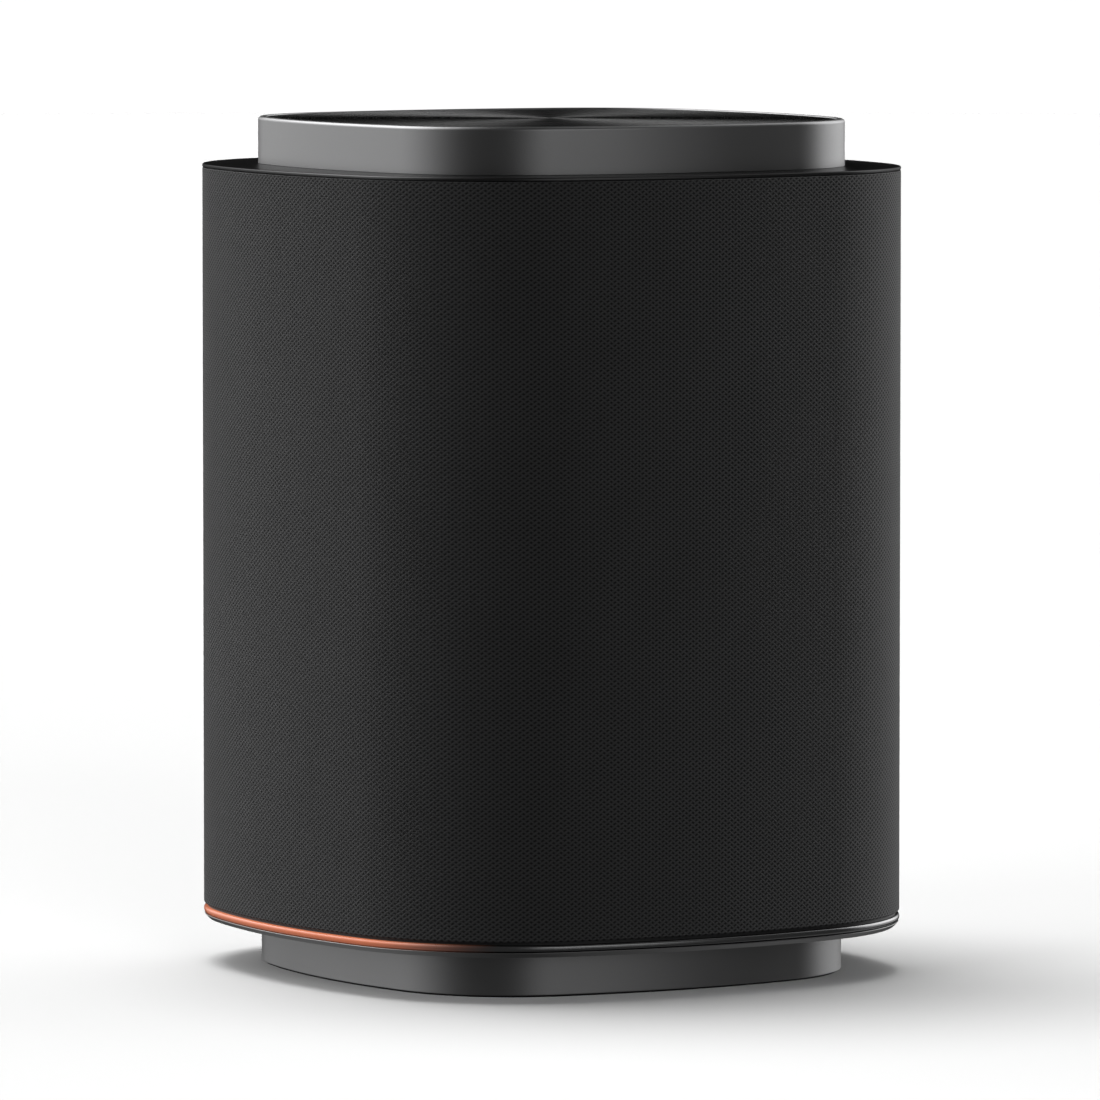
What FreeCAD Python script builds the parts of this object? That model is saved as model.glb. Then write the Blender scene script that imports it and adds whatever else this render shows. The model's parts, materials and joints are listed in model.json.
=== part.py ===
import FreeCAD, Part
import math
import os
import re
import Sketcher

# A table-top smart speaker: a tall rounded square wrapped in acoustic cloth, with a metal cap
# on top and a narrower metal plinth below. Millimetres. +Z is up, the floor is Z = 0, the
# origin is the middle of the foot and the front, where the light bar is, faces -Y.

DIMENSIONS = {
    # The widest outline: four bowed sides joined by tangent corner arcs.
    "half_width": 75.0,
    "side_radius": 173.0,
    "corner_radius": 47.3,
    # Heights above the floor.
    "foot_height": 0.5,
    "plinth_top": 10.6,
    "trim_top": 13.5,
    "sleeve_bottom": 13.9,
    "sleeve_top": 187.1,
    "deck_seat": 187.5,
    "deck_top": 188.3,
    "total_height": 199.3,
    # Plinth, foot and base plate.
    "foot_inset": 14.4,
    "foot_chamfer": 0.2,
    "plinth_inset": 13.6,
    "plinth_wall": 2.5,
    "base_gap": 0.2,
    "base_thick": 2.9,
    "base_screw_reach": 63.0,
    "boss_radius": 4.2,
    # Bottom trim ring, light guide and its board.
    "trim_width": 24.0,
    "trim_bevel": 1.2,
    "trim_edge": 0.5,
    "light_depth": 3.2,
    "light_bottom": 11.9,
    "light_half_angle": 52.0,
    "light_pocket": 9.0,
    "led_board_thick": 0.6,
    "led_pitch": 8.0,
    "led_size": 1.6,
    "led_rise": 0.8,
    # Cloth sleeve and the skeleton that it is stretched over.
    "sleeve_thick": 0.9,
    "frame_thick": 2.0,
    "window_width": 88.0,
    "window_rise": 18.0,
    "window_pitch": 24.0,
    "window_first": 27.5,
    "frame_gap": 0.3,
    # Chassis plate.
    "chassis_thick": 3.0,
    "post_rise": 4.0,
    "post_reach": 40.0,
    "post_radius": 5.0,
    "lead_slot_half": 5.0,
    "lead_slot_front": 44.0,
    "lead_slot_back": 52.0,
    # Sealed enclosure.
    "box_half": 58.0,
    "box_corner": 13.0,
    "box_bottom": 20.5,
    "box_floor": 5.0,
    "box_wall": 3.0,
    "cavity_corner": 22.0,
    "wall_cut": 12.0,
    "box_top": 157.0,
    "gasket_thick": 1.0,
    "lid_thick": 4.0,
    "corner_boss": 46.0,
    "corner_boss_radius": 5.0,
    "side_boss": 53.0,
    "side_boss_radius": 4.0,
    "side_boss_rise": 14.0,
    "pilot_tail": 2.0,
    "wadding_half": 32.0,
    "wadding_bottom": 32.0,
    "wadding_top": 132.0,
    "wadding_thick": 9.0,
    "wadding_edge": 3.0,
    # Electronics bay.
    "board_half": 43.0,
    "board_corner": 3.0,
    "board_bottom": 168.0,
    "board_thick": 1.6,
    "board_post": 36.0,
    "board_post_radius": 3.0,
    "sink_width": 44.0,
    "sink_depth": 30.0,
    "sink_base": 2.4,
    "sink_rise": 10.0,
    "fin_thick": 1.2,
    "fin_pitch": 3.6,
    "chip_rise": 1.4,
    "sink_across": 14.0,
    "sink_along": -1.0,
    "capacitor_radius": 5.0,
    "capacitor_rise": 12.0,
    "capacitor_pitch": 12.0,
    "capacitor_row": -30.0,
    "choke_half": 4.5,
    "choke_rise": 6.0,
    "radio_rise": 2.4,
    "aerial_reach": 48.5,
    "aerial_half": 16.0,
    "aerial_rise": 14.0,
    "aerial_thick": 0.8,
    # Deck, cap and top panel.
    "deck_width": 22.0,
    "deck_drop": 2.0,
    "deck_edge": 0.5,
    "cap_inset": 13.1,
    "cap_wall": 2.0,
    "cap_edge": 0.8,
    "cap_shelf": 3.0,
    "shelf_thick": 3.0,
    "cap_boss_reach": 56.5,
    "cap_boss_rise": 5.5,
    "panel_gap": 0.25,
    "panel_thick": 2.0,
    "panel_recess": 0.2,
    "touch_board_thick": 1.6,
    "microphone_circle": 50.0,
    "microphone_hole": 0.5,
    # Screws.
    "screw_radius": 1.25,
    "screw_head": 2.75,
    "screw_head_rise": 1.5,
    "pilot_radius": 1.35,
    "clearance_radius": 1.6,
    "small_screw_radius": 0.9,
    "small_screw_head": 1.7,
    "small_head_rise": 1.0,
    "small_pilot_radius": 1.0,
    "long_screw": 14.0,
    "short_screw": 7.0,
    "driver_screw": 6.0,
    "tweeter_screw_reach": 5.0,
    # Woofer, in its own frame: zero is the outer face of the box wall, up is outwards.
    "woofer_height": 72.0,
    "woofer_hole": 37.5,
    "woofer_flange": 45.0,
    "woofer_ear": 47.5,
    "ear_radius": 5.0,
    "woofer_gasket": 1.0,
    "flange_top": 3.5,
    "surround_seat": 2.5,
    "spider_depth": 14.0,
    "cone_depth": 7.0,
    "cone_top": 1.8,
    "cone_thick": 0.6,
    "former_back": 30.0,
    "former_front": 5.0,
    "winding_back": 28.0,
    "winding_front": 20.0,
    "vent_radius": 3.0,
    "dust_cap_radius": 15.0,
    "dust_cap_rise": 4.8,
    "dust_cap_wall": 0.5,
    "basket_window": 11.0,
    "pole_radius": 12.0,
    "coil_inner": 12.5,
    "coil_wall": 0.3,
    "winding_wall": 0.6,
    "plate_hole": 14.0,
    "plate_radius": 30.0,
    "magnet_hole": 17.0,
    "magnet_radius": 31.0,
    "plate_face": 22.0,
    "plate_thick": 4.0,
    "magnet_thick": 12.0,
    "yoke_thick": 5.0,
    "cone_rim": 33.0,
    "roll_centre": 36.6,
    "roll_radius": 3.4,
    "roll_wall": 0.5,
    "surround_rim": 41.6,
    "spider_rim": 28.0,
    "spider_wall": 0.4,
    "ripple_height": 0.9,
    # Passive radiators, in the same kind of frame.
    "radiator_height": 80.0,
    "radiator_hole": 34.5,
    "radiator_flange": 42.0,
    "radiator_ear": 44.5,
    "radiator_plate": 25.5,
    "radiator_plate_thick": 1.5,
    "radiator_roll": 5.5,
    "radiator_roll_wall": 0.6,
    "radiator_mass_radius": 10.0,
    "radiator_mass_depth": 4.0,
    "radiator_flange_top": 2.5,
    "radiator_seat": 1.5,
    "radiator_depth": 5.0,
    # Tweeters, in the same kind of frame.
    "tweeter_height": 140.0,
    "tweeter_offset": 27.0,
    "tweeter_hole": 12.5,
    "tweeter_flange": 16.5,
    "tweeter_screw": 14.2,
    "dome_radius": 8.0,
    "dome_rise": 2.6,
    "dome_wall": 0.25,
    "dome_base": 0.5,
    "tweeter_top": 2.5,
    "tweeter_can": 15.0,
    "tweeter_coil": 7.2,
    "tweeter_coil_wall": 0.3,
    "tweeter_gap": 0.4,
    # Power inlet.
    "inlet_width": 9.0,
    "inlet_rise": 6.4,
    "inlet_depth": 13.0,
    "inlet_bore": 2.8,
    "inlet_bore_depth": 9.5,
    "inlet_pin": 1.0,
    "inlet_gap": 0.1,
    # Cables inside the case.
    "lead_radius": 1.0,
    "lead_bend": 4.0,
    "lead_spread": 1.3,
    "ribbon_thick": 0.3,
    "led_ribbon_left": 10.0,
    "led_ribbon_width": 6.0,
    "led_ribbon_front": -68.0,
    "led_ribbon_low": 18.5,
    "led_ribbon_back": 64.0,
    "led_ribbon_high": 171.0,
    "led_ribbon_end": 39.0,
    "ribbon_slot": 0.6,
    "touch_ribbon_left": 20.0,
    "touch_ribbon_width": 12.0,
    "touch_ribbon_along": 36.0,
}

doc = FreeCAD.newDocument("smart_speaker")
dims = doc.addObject("Spreadsheet::Sheet", "dims")
for row, (alias, number) in enumerate(DIMENSIONS.items(), start=1):
    dims.set(f"A{row}", str(number))
    dims.setAlias(f"A{row}", alias)
doc.recompute()

X_AXIS = FreeCAD.Vector(1, 0, 0)
Y_AXIS = FreeCAD.Vector(0, 1, 0)
Z_AXIS = FreeCAD.Vector(0, 0, 1)
TO_FRONT = FreeCAD.Rotation(X_AXIS, 90)
TO_RIGHT = FreeCAD.Rotation(Y_AXIS, 90)
TO_LEFT = FreeCAD.Rotation(Y_AXIS, -90)

parts = []


def bind(expression):
    """Turn sheet words in an expression into references to the sheet's cells."""
    return re.sub(r"[a-z][a-z0-9_]*", lambda word: f"dims.{word[0]}" if word[0] in DIMENSIONS else word[0],
                  str(expression))


def value(expression):
    """What an expression of sheet words comes to now."""
    return float(dims.evalExpression(bind(expression)))


def keep(piece, name):
    """Give a finished sub-part its name and list it for export."""
    piece.Label = name
    parts.append(piece)
    return piece


# ---------------------------------------------------------------- PartDesign helpers

def new_body(name):
    return doc.addObject("PartDesign::Body", name)


def new_sketch(body, role, offset="0"):
    """An empty sketch on one of the body's own planes, moved along its normal by `offset`."""
    sketch = body.newObject("Sketcher::SketchObject", f"{body.Name}_sketch")
    plane = next(f for f in body.Origin.OriginFeatures if f.Role == role)
    sketch.AttachmentSupport = [(plane, "")]
    sketch.MapMode = "FlatFace"
    sketch.setExpression("AttachmentOffset.Base.z", bind(offset))
    return sketch


def constrain(sketch, kind, *where, size=None):
    """Add one constraint, bound to an expression when it has a size."""
    if size is None:
        sketch.addConstraint(Sketcher.Constraint(kind, *where))
        return
    index = sketch.addConstraint(Sketcher.Constraint(kind, *where, abs(value(size))))
    sketch.setExpression(f"Constraints[{index}]", bind(size))


def place_point(sketch, geometry, point, across, along):
    """Fix a sketch point at (across, along), each an expression of any sign."""
    for kind, axis, size in (("DistanceX", -2, across), ("DistanceY", -1, along)):
        number = value(size)
        if abs(number) < 1e-9:
            constrain(sketch, "PointOnObject", geometry, point, axis)
        elif number > 0:
            constrain(sketch, kind, -1, 1, geometry, point, size=size)
        else:
            constrain(sketch, kind, geometry, point, -1, 1, size=f"-({size})")


def draw_outline(sketch, inset):
    """Rounded square with bowed sides, `inset` inside the speaker's widest outline."""
    side_radius = value(f"side_radius - ({inset})")
    corner_radius = value(f"corner_radius - ({inset})")
    side_centre = value("half_width - side_radius")
    reach = side_radius - corner_radius
    diagonal = math.sqrt(2) * side_centre + math.sqrt(2 * side_centre**2 - 4 * (side_centre**2 - reach**2))
    corner_centre = diagonal / 2 / math.sqrt(2)
    spread = math.atan2(corner_centre, corner_centre - side_centre)
    sides = []
    corners = []
    for quarter in range(4):
        turn = quarter * math.pi / 2
        spin = FreeCAD.Rotation(Z_AXIS, math.degrees(turn))
        circle = Part.Circle(spin * FreeCAD.Vector(side_centre, 0, 0), Z_AXIS, side_radius)
        sides.append(sketch.addGeometry(Part.ArcOfCircle(circle, turn - spread, turn + spread)))
        circle = Part.Circle(spin * FreeCAD.Vector(corner_centre, corner_centre, 0), Z_AXIS, corner_radius)
        last = turn + math.pi / 2 - spread
        corners.append(sketch.addGeometry(Part.ArcOfCircle(circle, turn + spread, last)))
    for quarter in range(4):
        constrain(sketch, "Tangent", sides[quarter], 2, corners[quarter], 1)
        constrain(sketch, "Tangent", corners[quarter], 2, sides[(quarter + 1) % 4], 1)
        constrain(sketch, "PointOnObject", sides[quarter], 3, -1 - quarter % 2)
    centre_offset = "side_radius - half_width"
    constrain(sketch, "DistanceX", sides[0], 3, -1, 1, size=centre_offset)
    constrain(sketch, "DistanceY", sides[1], 3, -1, 1, size=centre_offset)
    constrain(sketch, "DistanceX", -1, 1, sides[2], 3, size=centre_offset)
    constrain(sketch, "DistanceY", -1, 1, sides[3], 3, size=centre_offset)
    for quarter in range(1, 4):
        constrain(sketch, "Equal", sides[0], sides[quarter])
        constrain(sketch, "Equal", corners[0], corners[quarter])
    constrain(sketch, "Radius", sides[0], size=f"side_radius - ({inset})")
    constrain(sketch, "Radius", corners[0], size=f"corner_radius - ({inset})")


def draw_polygon(sketch, points):
    """Closed polygon whose corners are pairs of expressions."""
    corners = [FreeCAD.Vector(value(across), value(along), 0) for across, along in points]
    count = len(corners)
    lines = [sketch.addGeometry(Part.LineSegment(corners[i], corners[(i + 1) % count])) for i in range(count)]
    for i in range(count):
        constrain(sketch, "Coincident", lines[i], 2, lines[(i + 1) % count], 1)
        place_point(sketch, lines[i], 1, *points[i])


def draw_circle(sketch, across, along, radius):
    centre = FreeCAD.Vector(value(across), value(along), 0)
    circle = sketch.addGeometry(Part.Circle(centre, Z_AXIS, value(radius)))
    place_point(sketch, circle, 3, across, along)
    constrain(sketch, "Radius", circle, size=radius)


def draw_rectangle(sketch, left, right, low, high):
    draw_polygon(sketch, [(left, low), (right, low), (right, high), (left, high)])


def draw_rounded_square(sketch, half, corner):
    """Square with flat sides and round corners, centred on the origin."""
    size = value(half)
    bend = value(corner)
    straight = size - bend
    lines = []
    arcs = []
    for quarter in range(4):
        spin = FreeCAD.Rotation(Z_AXIS, 90 * quarter)
        ends = [spin * FreeCAD.Vector(size, side * straight, 0) for side in (-1, 1)]
        lines.append(sketch.addGeometry(Part.LineSegment(*ends)))
        circle = Part.Circle(spin * FreeCAD.Vector(straight, straight, 0), Z_AXIS, bend)
        start = quarter * math.pi / 2
        arcs.append(sketch.addGeometry(Part.ArcOfCircle(circle, start, start + math.pi / 2)))
    for quarter in range(4):
        constrain(sketch, "Tangent", lines[quarter], 2, arcs[quarter], 1)
        constrain(sketch, "Tangent", arcs[quarter], 2, lines[(quarter + 1) % 4], 1)
    for quarter in (0, 2):
        constrain(sketch, "Vertical", lines[quarter])
    for quarter in (1, 3):
        constrain(sketch, "Horizontal", lines[quarter])
    constrain(sketch, "DistanceX", -1, 1, lines[0], 1, size=half)
    constrain(sketch, "DistanceY", -1, 1, lines[1], 1, size=half)
    constrain(sketch, "DistanceX", lines[2], 1, -1, 1, size=half)
    constrain(sketch, "DistanceY", lines[3], 1, -1, 1, size=half)
    for quarter in range(1, 4):
        constrain(sketch, "Equal", arcs[0], arcs[quarter])
    constrain(sketch, "Radius", arcs[0], size=corner)


def pad(body, sketch, length):
    feature = body.newObject("PartDesign::Pad", f"{body.Name}_pad")
    feature.Profile = sketch
    feature.setExpression("Length", bind(length))
    return feature


def pocket(body, sketch, length=None, reverse=False, both_ways=False):
    """Cut a sketch out of the body, to a depth, or right through when no depth is given."""
    feature = body.newObject("PartDesign::Pocket", f"{body.Name}_pocket")
    feature.Profile = sketch
    feature.Reversed = reverse
    feature.Midplane = both_ways
    if length is None:
        feature.Type = "ThroughAll"
    else:
        feature.setExpression("Length", bind(length))
    return feature


def dress(body, kind, size, pick):
    """Fillet or chamfer the edges of the body's last feature that `pick` chooses."""
    doc.recompute()
    base = body.Tip
    names = [f"Edge{i}" for i, edge in enumerate(base.Shape.Edges, start=1) if pick(edge)]
    feature = body.newObject(f"PartDesign::{kind}", f"{body.Name}_{kind.lower()}")
    feature.Base = (base, names)
    feature.setExpression("Radius" if kind == "Fillet" else "Size", bind(size))
    return feature


def edge_at(height, beyond=0.0):
    """Picks level edges at a height that lie further than `beyond` from the middle axis."""
    level = value(height)
    away = value(beyond)

    def pick(edge):
        box = edge.BoundBox
        middle = edge.valueAt((edge.FirstParameter + edge.LastParameter) / 2)
        flat = abs(box.ZMin - level) < 1e-4 and abs(box.ZMax - level) < 1e-4
        return flat and math.hypot(middle.x, middle.y) > away
    return pick


def ring_body(name, outer, inner, bottom, rise):
    """A band between two insets of the speaker's outline; a plate where `inner` is None."""
    body = new_body(name)
    sketch = new_sketch(body, "XY_Plane", bottom)
    draw_outline(sketch, outer)
    if inner is not None:
        draw_outline(sketch, inner)
    pad(body, sketch, rise)
    return body


def turned_body(name, points):
    """A body turned about its own Z from a closed profile of (radius, height) expressions."""
    body = new_body(name)
    sketch = new_sketch(body, "XZ_Plane")
    draw_polygon(sketch, points)
    feature = body.newObject("PartDesign::Revolution", f"{name}_turn")
    feature.Profile = sketch
    feature.ReferenceAxis = (sketch, ["V_Axis"])
    feature.Angle = 360
    return body


def diagonal_points(reach):
    """The four points on the diagonals at a distance from the middle, as expressions."""
    size = f"({reach}) * sqrt(2) / 2"
    return [(f"{i} * {size}", f"{j} * {size}") for i in (-1, 1) for j in (-1, 1)]


def square_points(reach):
    """The four corners of a square of half width `reach`, as expressions."""
    return [(f"{i} * ({reach})", f"{j} * ({reach})") for i in (-1, 1) for j in (-1, 1)]


def cross_points(reach):
    """The four points on the axes at a distance from the middle, as expressions."""
    return [(reach, "0"), ("0", reach), (f"-({reach})", "0"), ("0", f"-({reach})")]


def holes(body, points, radius, offset="0", depth=None):
    """Upright holes cut upwards from the plane at `offset`."""
    sketch = new_sketch(body, "XY_Plane", offset)
    for across, along in points:
        draw_circle(sketch, across, along, radius)
    return pocket(body, sketch, depth, reverse=True)


def bosses(body, points, radius, offset, rise):
    """Round bosses that rise from the plane at `offset`."""
    sketch = new_sketch(body, "XY_Plane", offset)
    for across, along in points:
        draw_circle(sketch, across, along, radius)
    return pad(body, sketch, rise)


# ---------------------------------------------------------------- Part primitive helpers

def cylinder(name, radius, low, high, across="0", along="0"):
    piece = doc.addObject("Part::Cylinder", name)
    piece.setExpression("Radius", bind(radius))
    piece.setExpression("Height", bind(f"({high}) - ({low})"))
    piece.setExpression("Placement.Base.x", bind(across))
    piece.setExpression("Placement.Base.y", bind(along))
    piece.setExpression("Placement.Base.z", bind(low))
    return piece


def block(name, left, right, front, back, low, high):
    piece = doc.addObject("Part::Box", name)
    for side, first, last in (("Length", left, right), ("Width", front, back), ("Height", low, high)):
        piece.setExpression(side, bind(f"({last}) - ({first})"))
    for axis, first in (("x", left), ("y", front), ("z", low)):
        piece.setExpression(f"Placement.Base.{axis}", bind(first))
    return piece


def cut(name, base, tool):
    piece = doc.addObject("Part::Cut", name)
    piece.Base = base
    piece.Tool = tool
    return piece


def common(name, base, tool):
    piece = doc.addObject("Part::Common", name)
    piece.Base = base
    piece.Tool = tool
    return piece


def fuse(name, pieces):
    piece = doc.addObject("Part::MultiFuse", name)
    piece.Shapes = pieces
    piece.Refine = True
    return piece


def group(name, pieces):
    """Separate solids of one kind that share a node."""
    piece = doc.addObject("Part::Compound", name)
    piece.Links = pieces
    return piece


def tube(name, inner, outer, low, high):
    """A round sleeve about Z."""
    outside = cylinder(f"{name}_outside", outer, low, high)
    inside = cylinder(f"{name}_inside", inner, f"({low}) - 1", f"({high}) + 1")
    return cut(name, outside, inside)


def half_roll(name, centre, radius, wall, level, upper=True):
    """Half of a thin-walled torus about Z, above or below its middle level."""
    rings = []
    for side, sign in (("outer", "+"), ("inner", "-")):
        ring = doc.addObject("Part::Torus", f"{name}_{side}")
        ring.setExpression("Radius1", bind(centre))
        ring.setExpression("Radius2", bind(f"{radius} {sign} ({wall}) / 2"))
        ring.setExpression("Placement.Base.z", bind(level))
        rings.append(ring)
    reach = f"({centre}) + 3 * ({radius})"
    low = level if upper else f"({level}) - 2 * ({radius})"
    half = cylinder(f"{name}_half", reach, low, f"({low}) + 2 * ({radius})")
    return common(name, cut(f"{name}_wall", *rings), half)


def dome(name, radius, rise, wall, base):
    """A thin spherical cap about Z whose rim is `radius` across the axis at height `base`."""
    ball_radius = f"(({radius})^2 + ({rise})^2) / (2 * ({rise}))"
    shells = []
    for side, size in (("outer", ball_radius), ("inner", f"{ball_radius} - ({wall})")):
        ball = doc.addObject("Part::Sphere", f"{name}_{side}")
        ball.setExpression("Radius", bind(size))
        ball.setExpression("Placement.Base.z", bind(f"({base}) + ({rise}) - {ball_radius}"))
        shells.append(ball)
    zone = cylinder(f"{name}_zone", radius, base, f"({base}) + 2 * ({rise})")
    return common(name, cut(f"{name}_shell", *shells), zone)


def seat(piece, rotation, across="0", along="0", up="0"):
    """Put a finished sub-part at its place, the offsets bound to the sheet."""
    piece.Placement = FreeCAD.Placement(FreeCAD.Vector(0, 0, 0), rotation)
    for axis, size in (("x", across), ("y", along), ("z", up)):
        piece.setExpression(f"Placement.Base.{axis}", bind(size))
    return piece


# ---------------------------------------------------------------- base

def make_foot_pad():
    body = ring_body("foot_pad", "foot_inset", None, "0", "foot_height")
    dress(body, "Chamfer", "foot_chamfer", edge_at("0"))
    keep(body, "foot_pad")


def make_base_plate():
    body = ring_body("base_plate", "plinth_inset + plinth_wall + base_gap", None, "foot_height", "base_thick")
    points = diagonal_points("base_screw_reach")
    holes(body, points, "screw_head + 0.15", "foot_height", "screw_head_rise")
    holes(body, points, "clearance_radius", "foot_height")
    keep(body, "base_plate")


def make_base_plinth():
    body = ring_body("base_plinth", "plinth_inset", "plinth_inset + plinth_wall", "foot_height",
                     "plinth_top - foot_height")
    points = diagonal_points("base_screw_reach")
    base_top = "foot_height + base_thick"
    bosses(body, points, "boss_radius", base_top, f"plinth_top - ({base_top})")
    holes(body, points, "clearance_radius", "foot_height")
    window = new_sketch(body, "XZ_Plane")
    side = "inlet_width / 2 + inlet_gap"
    draw_rectangle(window, f"-({side})", side, base_top, f"{base_top} + inlet_rise + inlet_gap")
    pocket(body, window, "half_width", reverse=False)
    keep(body, "base_plinth")


def front_wedge_gap(body, offset):
    """Sketch of all that lies outside the light's sector, seen from above."""
    sketch = new_sketch(body, "XY_Plane", offset)
    far = "2 * half_width"
    across = f"{far} * sin(light_half_angle * 1deg)"
    along = f"-{far} * cos(light_half_angle * 1deg)"
    draw_polygon(sketch, [("0", "0"), (across, along), (far, far), (f"-{far}", far), (f"-{across}", along)])
    return sketch


def light_sector(name, outer, inner, bottom, rise):
    """The stretch of an outline band that the light bar covers."""
    body = ring_body(name, outer, inner, bottom, rise)
    pocket(body, front_wedge_gap(body, bottom), reverse=True)
    return body


def make_trim_and_light():
    ring = ring_body("trim_blank", "0", "trim_width", "plinth_top", "trim_top - plinth_top")
    dress(ring, "Chamfer", "trim_bevel", edge_at("plinth_top", "half_width - 1"))
    dress(ring, "Fillet", "trim_edge", edge_at("trim_top", "half_width - 1"))
    holes(ring, diagonal_points("base_screw_reach"), "clearance_radius", "plinth_top")
    channel = light_sector("light_channel", "-1", "light_pocket", "light_bottom", "trim_top")
    keep(cut("bottom_trim_ring", ring, channel), "bottom_trim_ring")

    guide = light_sector("light_guide", "0", "light_depth", "light_bottom", "trim_top - light_bottom")
    dress(guide, "Fillet", "trim_edge", edge_at("trim_top", "half_width - 1"))
    keep(guide, "light_guide")

    board = light_sector("led_board", "light_depth + 0.1", "light_pocket - 0.2", "light_bottom",
                         "led_board_thick")
    keep(board, "led_board")


def make_leds():
    """Side-firing lamps in a row behind the light guide, spaced along the bowed front."""
    lamps = []
    arc_radius = "side_radius - light_depth - 0.4 - led_size / 2"
    count = int(value("half_width") // value("led_pitch"))
    for step in range(-(count // 2), count // 2 + 1):
        turn = f"({step} * led_pitch / ({arc_radius}) * 1rad)"
        lamp = doc.addObject("Part::Box", "led")
        lamp.setExpression("Length", bind("led_size * 2"))
        lamp.setExpression("Width", bind("led_size"))
        lamp.setExpression("Height", bind("led_rise"))
        lamp.setExpression("Placement.Base.x", bind(f"({arc_radius}) * sin{turn} - led_size"))
        lamp.setExpression("Placement.Base.y",
                           bind(f"side_radius - half_width - ({arc_radius}) * cos{turn} - led_size / 2"))
        lamp.setExpression("Placement.Base.z", bind("light_bottom + led_board_thick"))
        lamps.append(lamp)
    keep(group("leds", lamps), "leds")


# ---------------------------------------------------------------- case skin

def make_fabric_sleeve():
    keep(ring_body("fabric_sleeve", "0", "sleeve_thick", "sleeve_bottom", "sleeve_top - sleeve_bottom"),
         "fabric_sleeve")


def make_grille_frame():
    """Skeleton tube with rows of windows on all four sides, so that sound passes."""
    body = ring_body("grille_frame", "sleeve_thick", "sleeve_thick + frame_thick", "trim_top",
                     "deck_seat - trim_top")
    rows = 7
    for role in ("XZ_Plane", "YZ_Plane"):
        sketch = new_sketch(body, role)
        half = "window_width / 2"
        draw_rectangle(sketch, f"-{half}", half, "window_first - window_rise / 2",
                       "window_first + window_rise / 2")
        window = pocket(body, sketch, both_ways=True)
        column = body.newObject("PartDesign::LinearPattern", "window_column")
        column.Originals = [window]
        column.Direction = (next(f for f in body.Origin.OriginFeatures if f.Role == "Z_Axis"), [""])
        column.setExpression("Length", bind(f"window_pitch * {rows - 1}"))
        column.Occurrences = rows
        body.Tip = column
    keep(body, "grille_frame")


def make_chassis_plate():
    body = ring_body("chassis_plate", "sleeve_thick + frame_thick + frame_gap", None, "trim_top",
                     "chassis_thick")
    top = "trim_top + chassis_thick"
    bosses(body, square_points("post_reach"), "post_radius", top, "post_rise")
    holes(body, square_points("post_reach"), "clearance_radius", "trim_top")
    holes(body, square_points("post_reach"), "screw_head + 0.15", "trim_top", "screw_head_rise")
    holes(body, diagonal_points("base_screw_reach"), "pilot_radius", "trim_top")
    slots = new_sketch(body, "XY_Plane", "trim_top")
    draw_rectangle(slots, "led_ribbon_left - ribbon_slot", "led_ribbon_left + led_ribbon_width + ribbon_slot",
                   "led_ribbon_front - ribbon_slot", "led_ribbon_front + ribbon_thick + ribbon_slot")
    draw_rectangle(slots, "-lead_slot_half", "lead_slot_half", "lead_slot_front", "lead_slot_back")
    pocket(body, slots, reverse=True)
    keep(body, "chassis_plate")


# ---------------------------------------------------------------- sealed enclosure

def wall_holes(body, role, offset, circles):
    """Round holes through one wall, cut along the plane's normal from `offset`."""
    sketch = new_sketch(body, role, offset)
    for across, along, radius in circles:
        draw_circle(sketch, across, along, radius)
    return pocket(body, sketch, "wall_cut + 1", reverse=True)


def ear_points(reach, across, up):
    """Four screw places on the diagonals about a driver's axis."""
    size = f"({reach}) * sqrt(2) / 2"
    return [(f"({across}) + {i} * {size}", f"({up}) + {j} * {size}") for i in (-1, 1) for j in (-1, 1)]


def tweeter_screw_points(across):
    """Two screw places on one level either side of a tweeter's axis."""
    return [(f"({across}) + {i} * tweeter_screw", "tweeter_height") for i in (-1, 1)]


def pilots(points, radius="pilot_radius"):
    """Pilot holes for wall_holes, at a driver's screw places."""
    return [(across, up, radius) for across, up in points]


def make_enclosure_body():
    body = new_body("enclosure_body")
    outside = new_sketch(body, "XY_Plane", "box_bottom")
    draw_rounded_square(outside, "box_half", "box_corner")
    pad(body, outside, "box_top - box_bottom")
    floor = "box_bottom + box_floor"
    inside = new_sketch(body, "XY_Plane", floor)
    draw_rounded_square(inside, "box_half - box_wall", "cavity_corner")
    pocket(body, inside, f"box_top - ({floor})", reverse=True)
    bosses(body, square_points("corner_boss"), "corner_boss_radius", floor, f"box_top - ({floor})")
    bosses(body, cross_points("side_boss"), "side_boss_radius", "box_top - side_boss_rise", "side_boss_rise")
    holes(body, square_points("corner_boss") + cross_points("side_boss"), "pilot_radius",
          "box_top - side_boss_rise + pilot_tail")
    holes(body, square_points("post_reach"), "pilot_radius", "box_bottom", "box_floor")
    front = [("0", "woofer_height", "woofer_hole")]
    front += pilots(ear_points("woofer_ear", "0", "woofer_height"))
    for side in ("-tweeter_offset", "tweeter_offset"):
        front.append((side, "tweeter_height", "tweeter_hole"))
        front += pilots(tweeter_screw_points(side), "small_pilot_radius")
    wall_holes(body, "XZ_Plane", "box_half - wall_cut", front)
    wall = [("0", "radiator_height", "radiator_hole")]
    wall += pilots(ear_points("radiator_ear", "0", "radiator_height"))
    wall_holes(body, "YZ_Plane", "box_half - wall_cut", wall)
    wall_holes(body, "YZ_Plane", "-box_half - 1", wall)
    keep(body, "enclosure_body")


def make_enclosure_gasket():
    body = new_body("enclosure_gasket")
    sketch = new_sketch(body, "XY_Plane", "box_top")
    draw_rounded_square(sketch, "box_half - 0.3", "box_corner - 0.3")
    draw_rounded_square(sketch, "box_half - box_wall - 7", "cavity_corner - 7")
    pad(body, sketch, "gasket_thick")
    holes(body, square_points("corner_boss") + cross_points("side_boss"), "clearance_radius", "box_top")
    keep(body, "enclosure_gasket")


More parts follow.
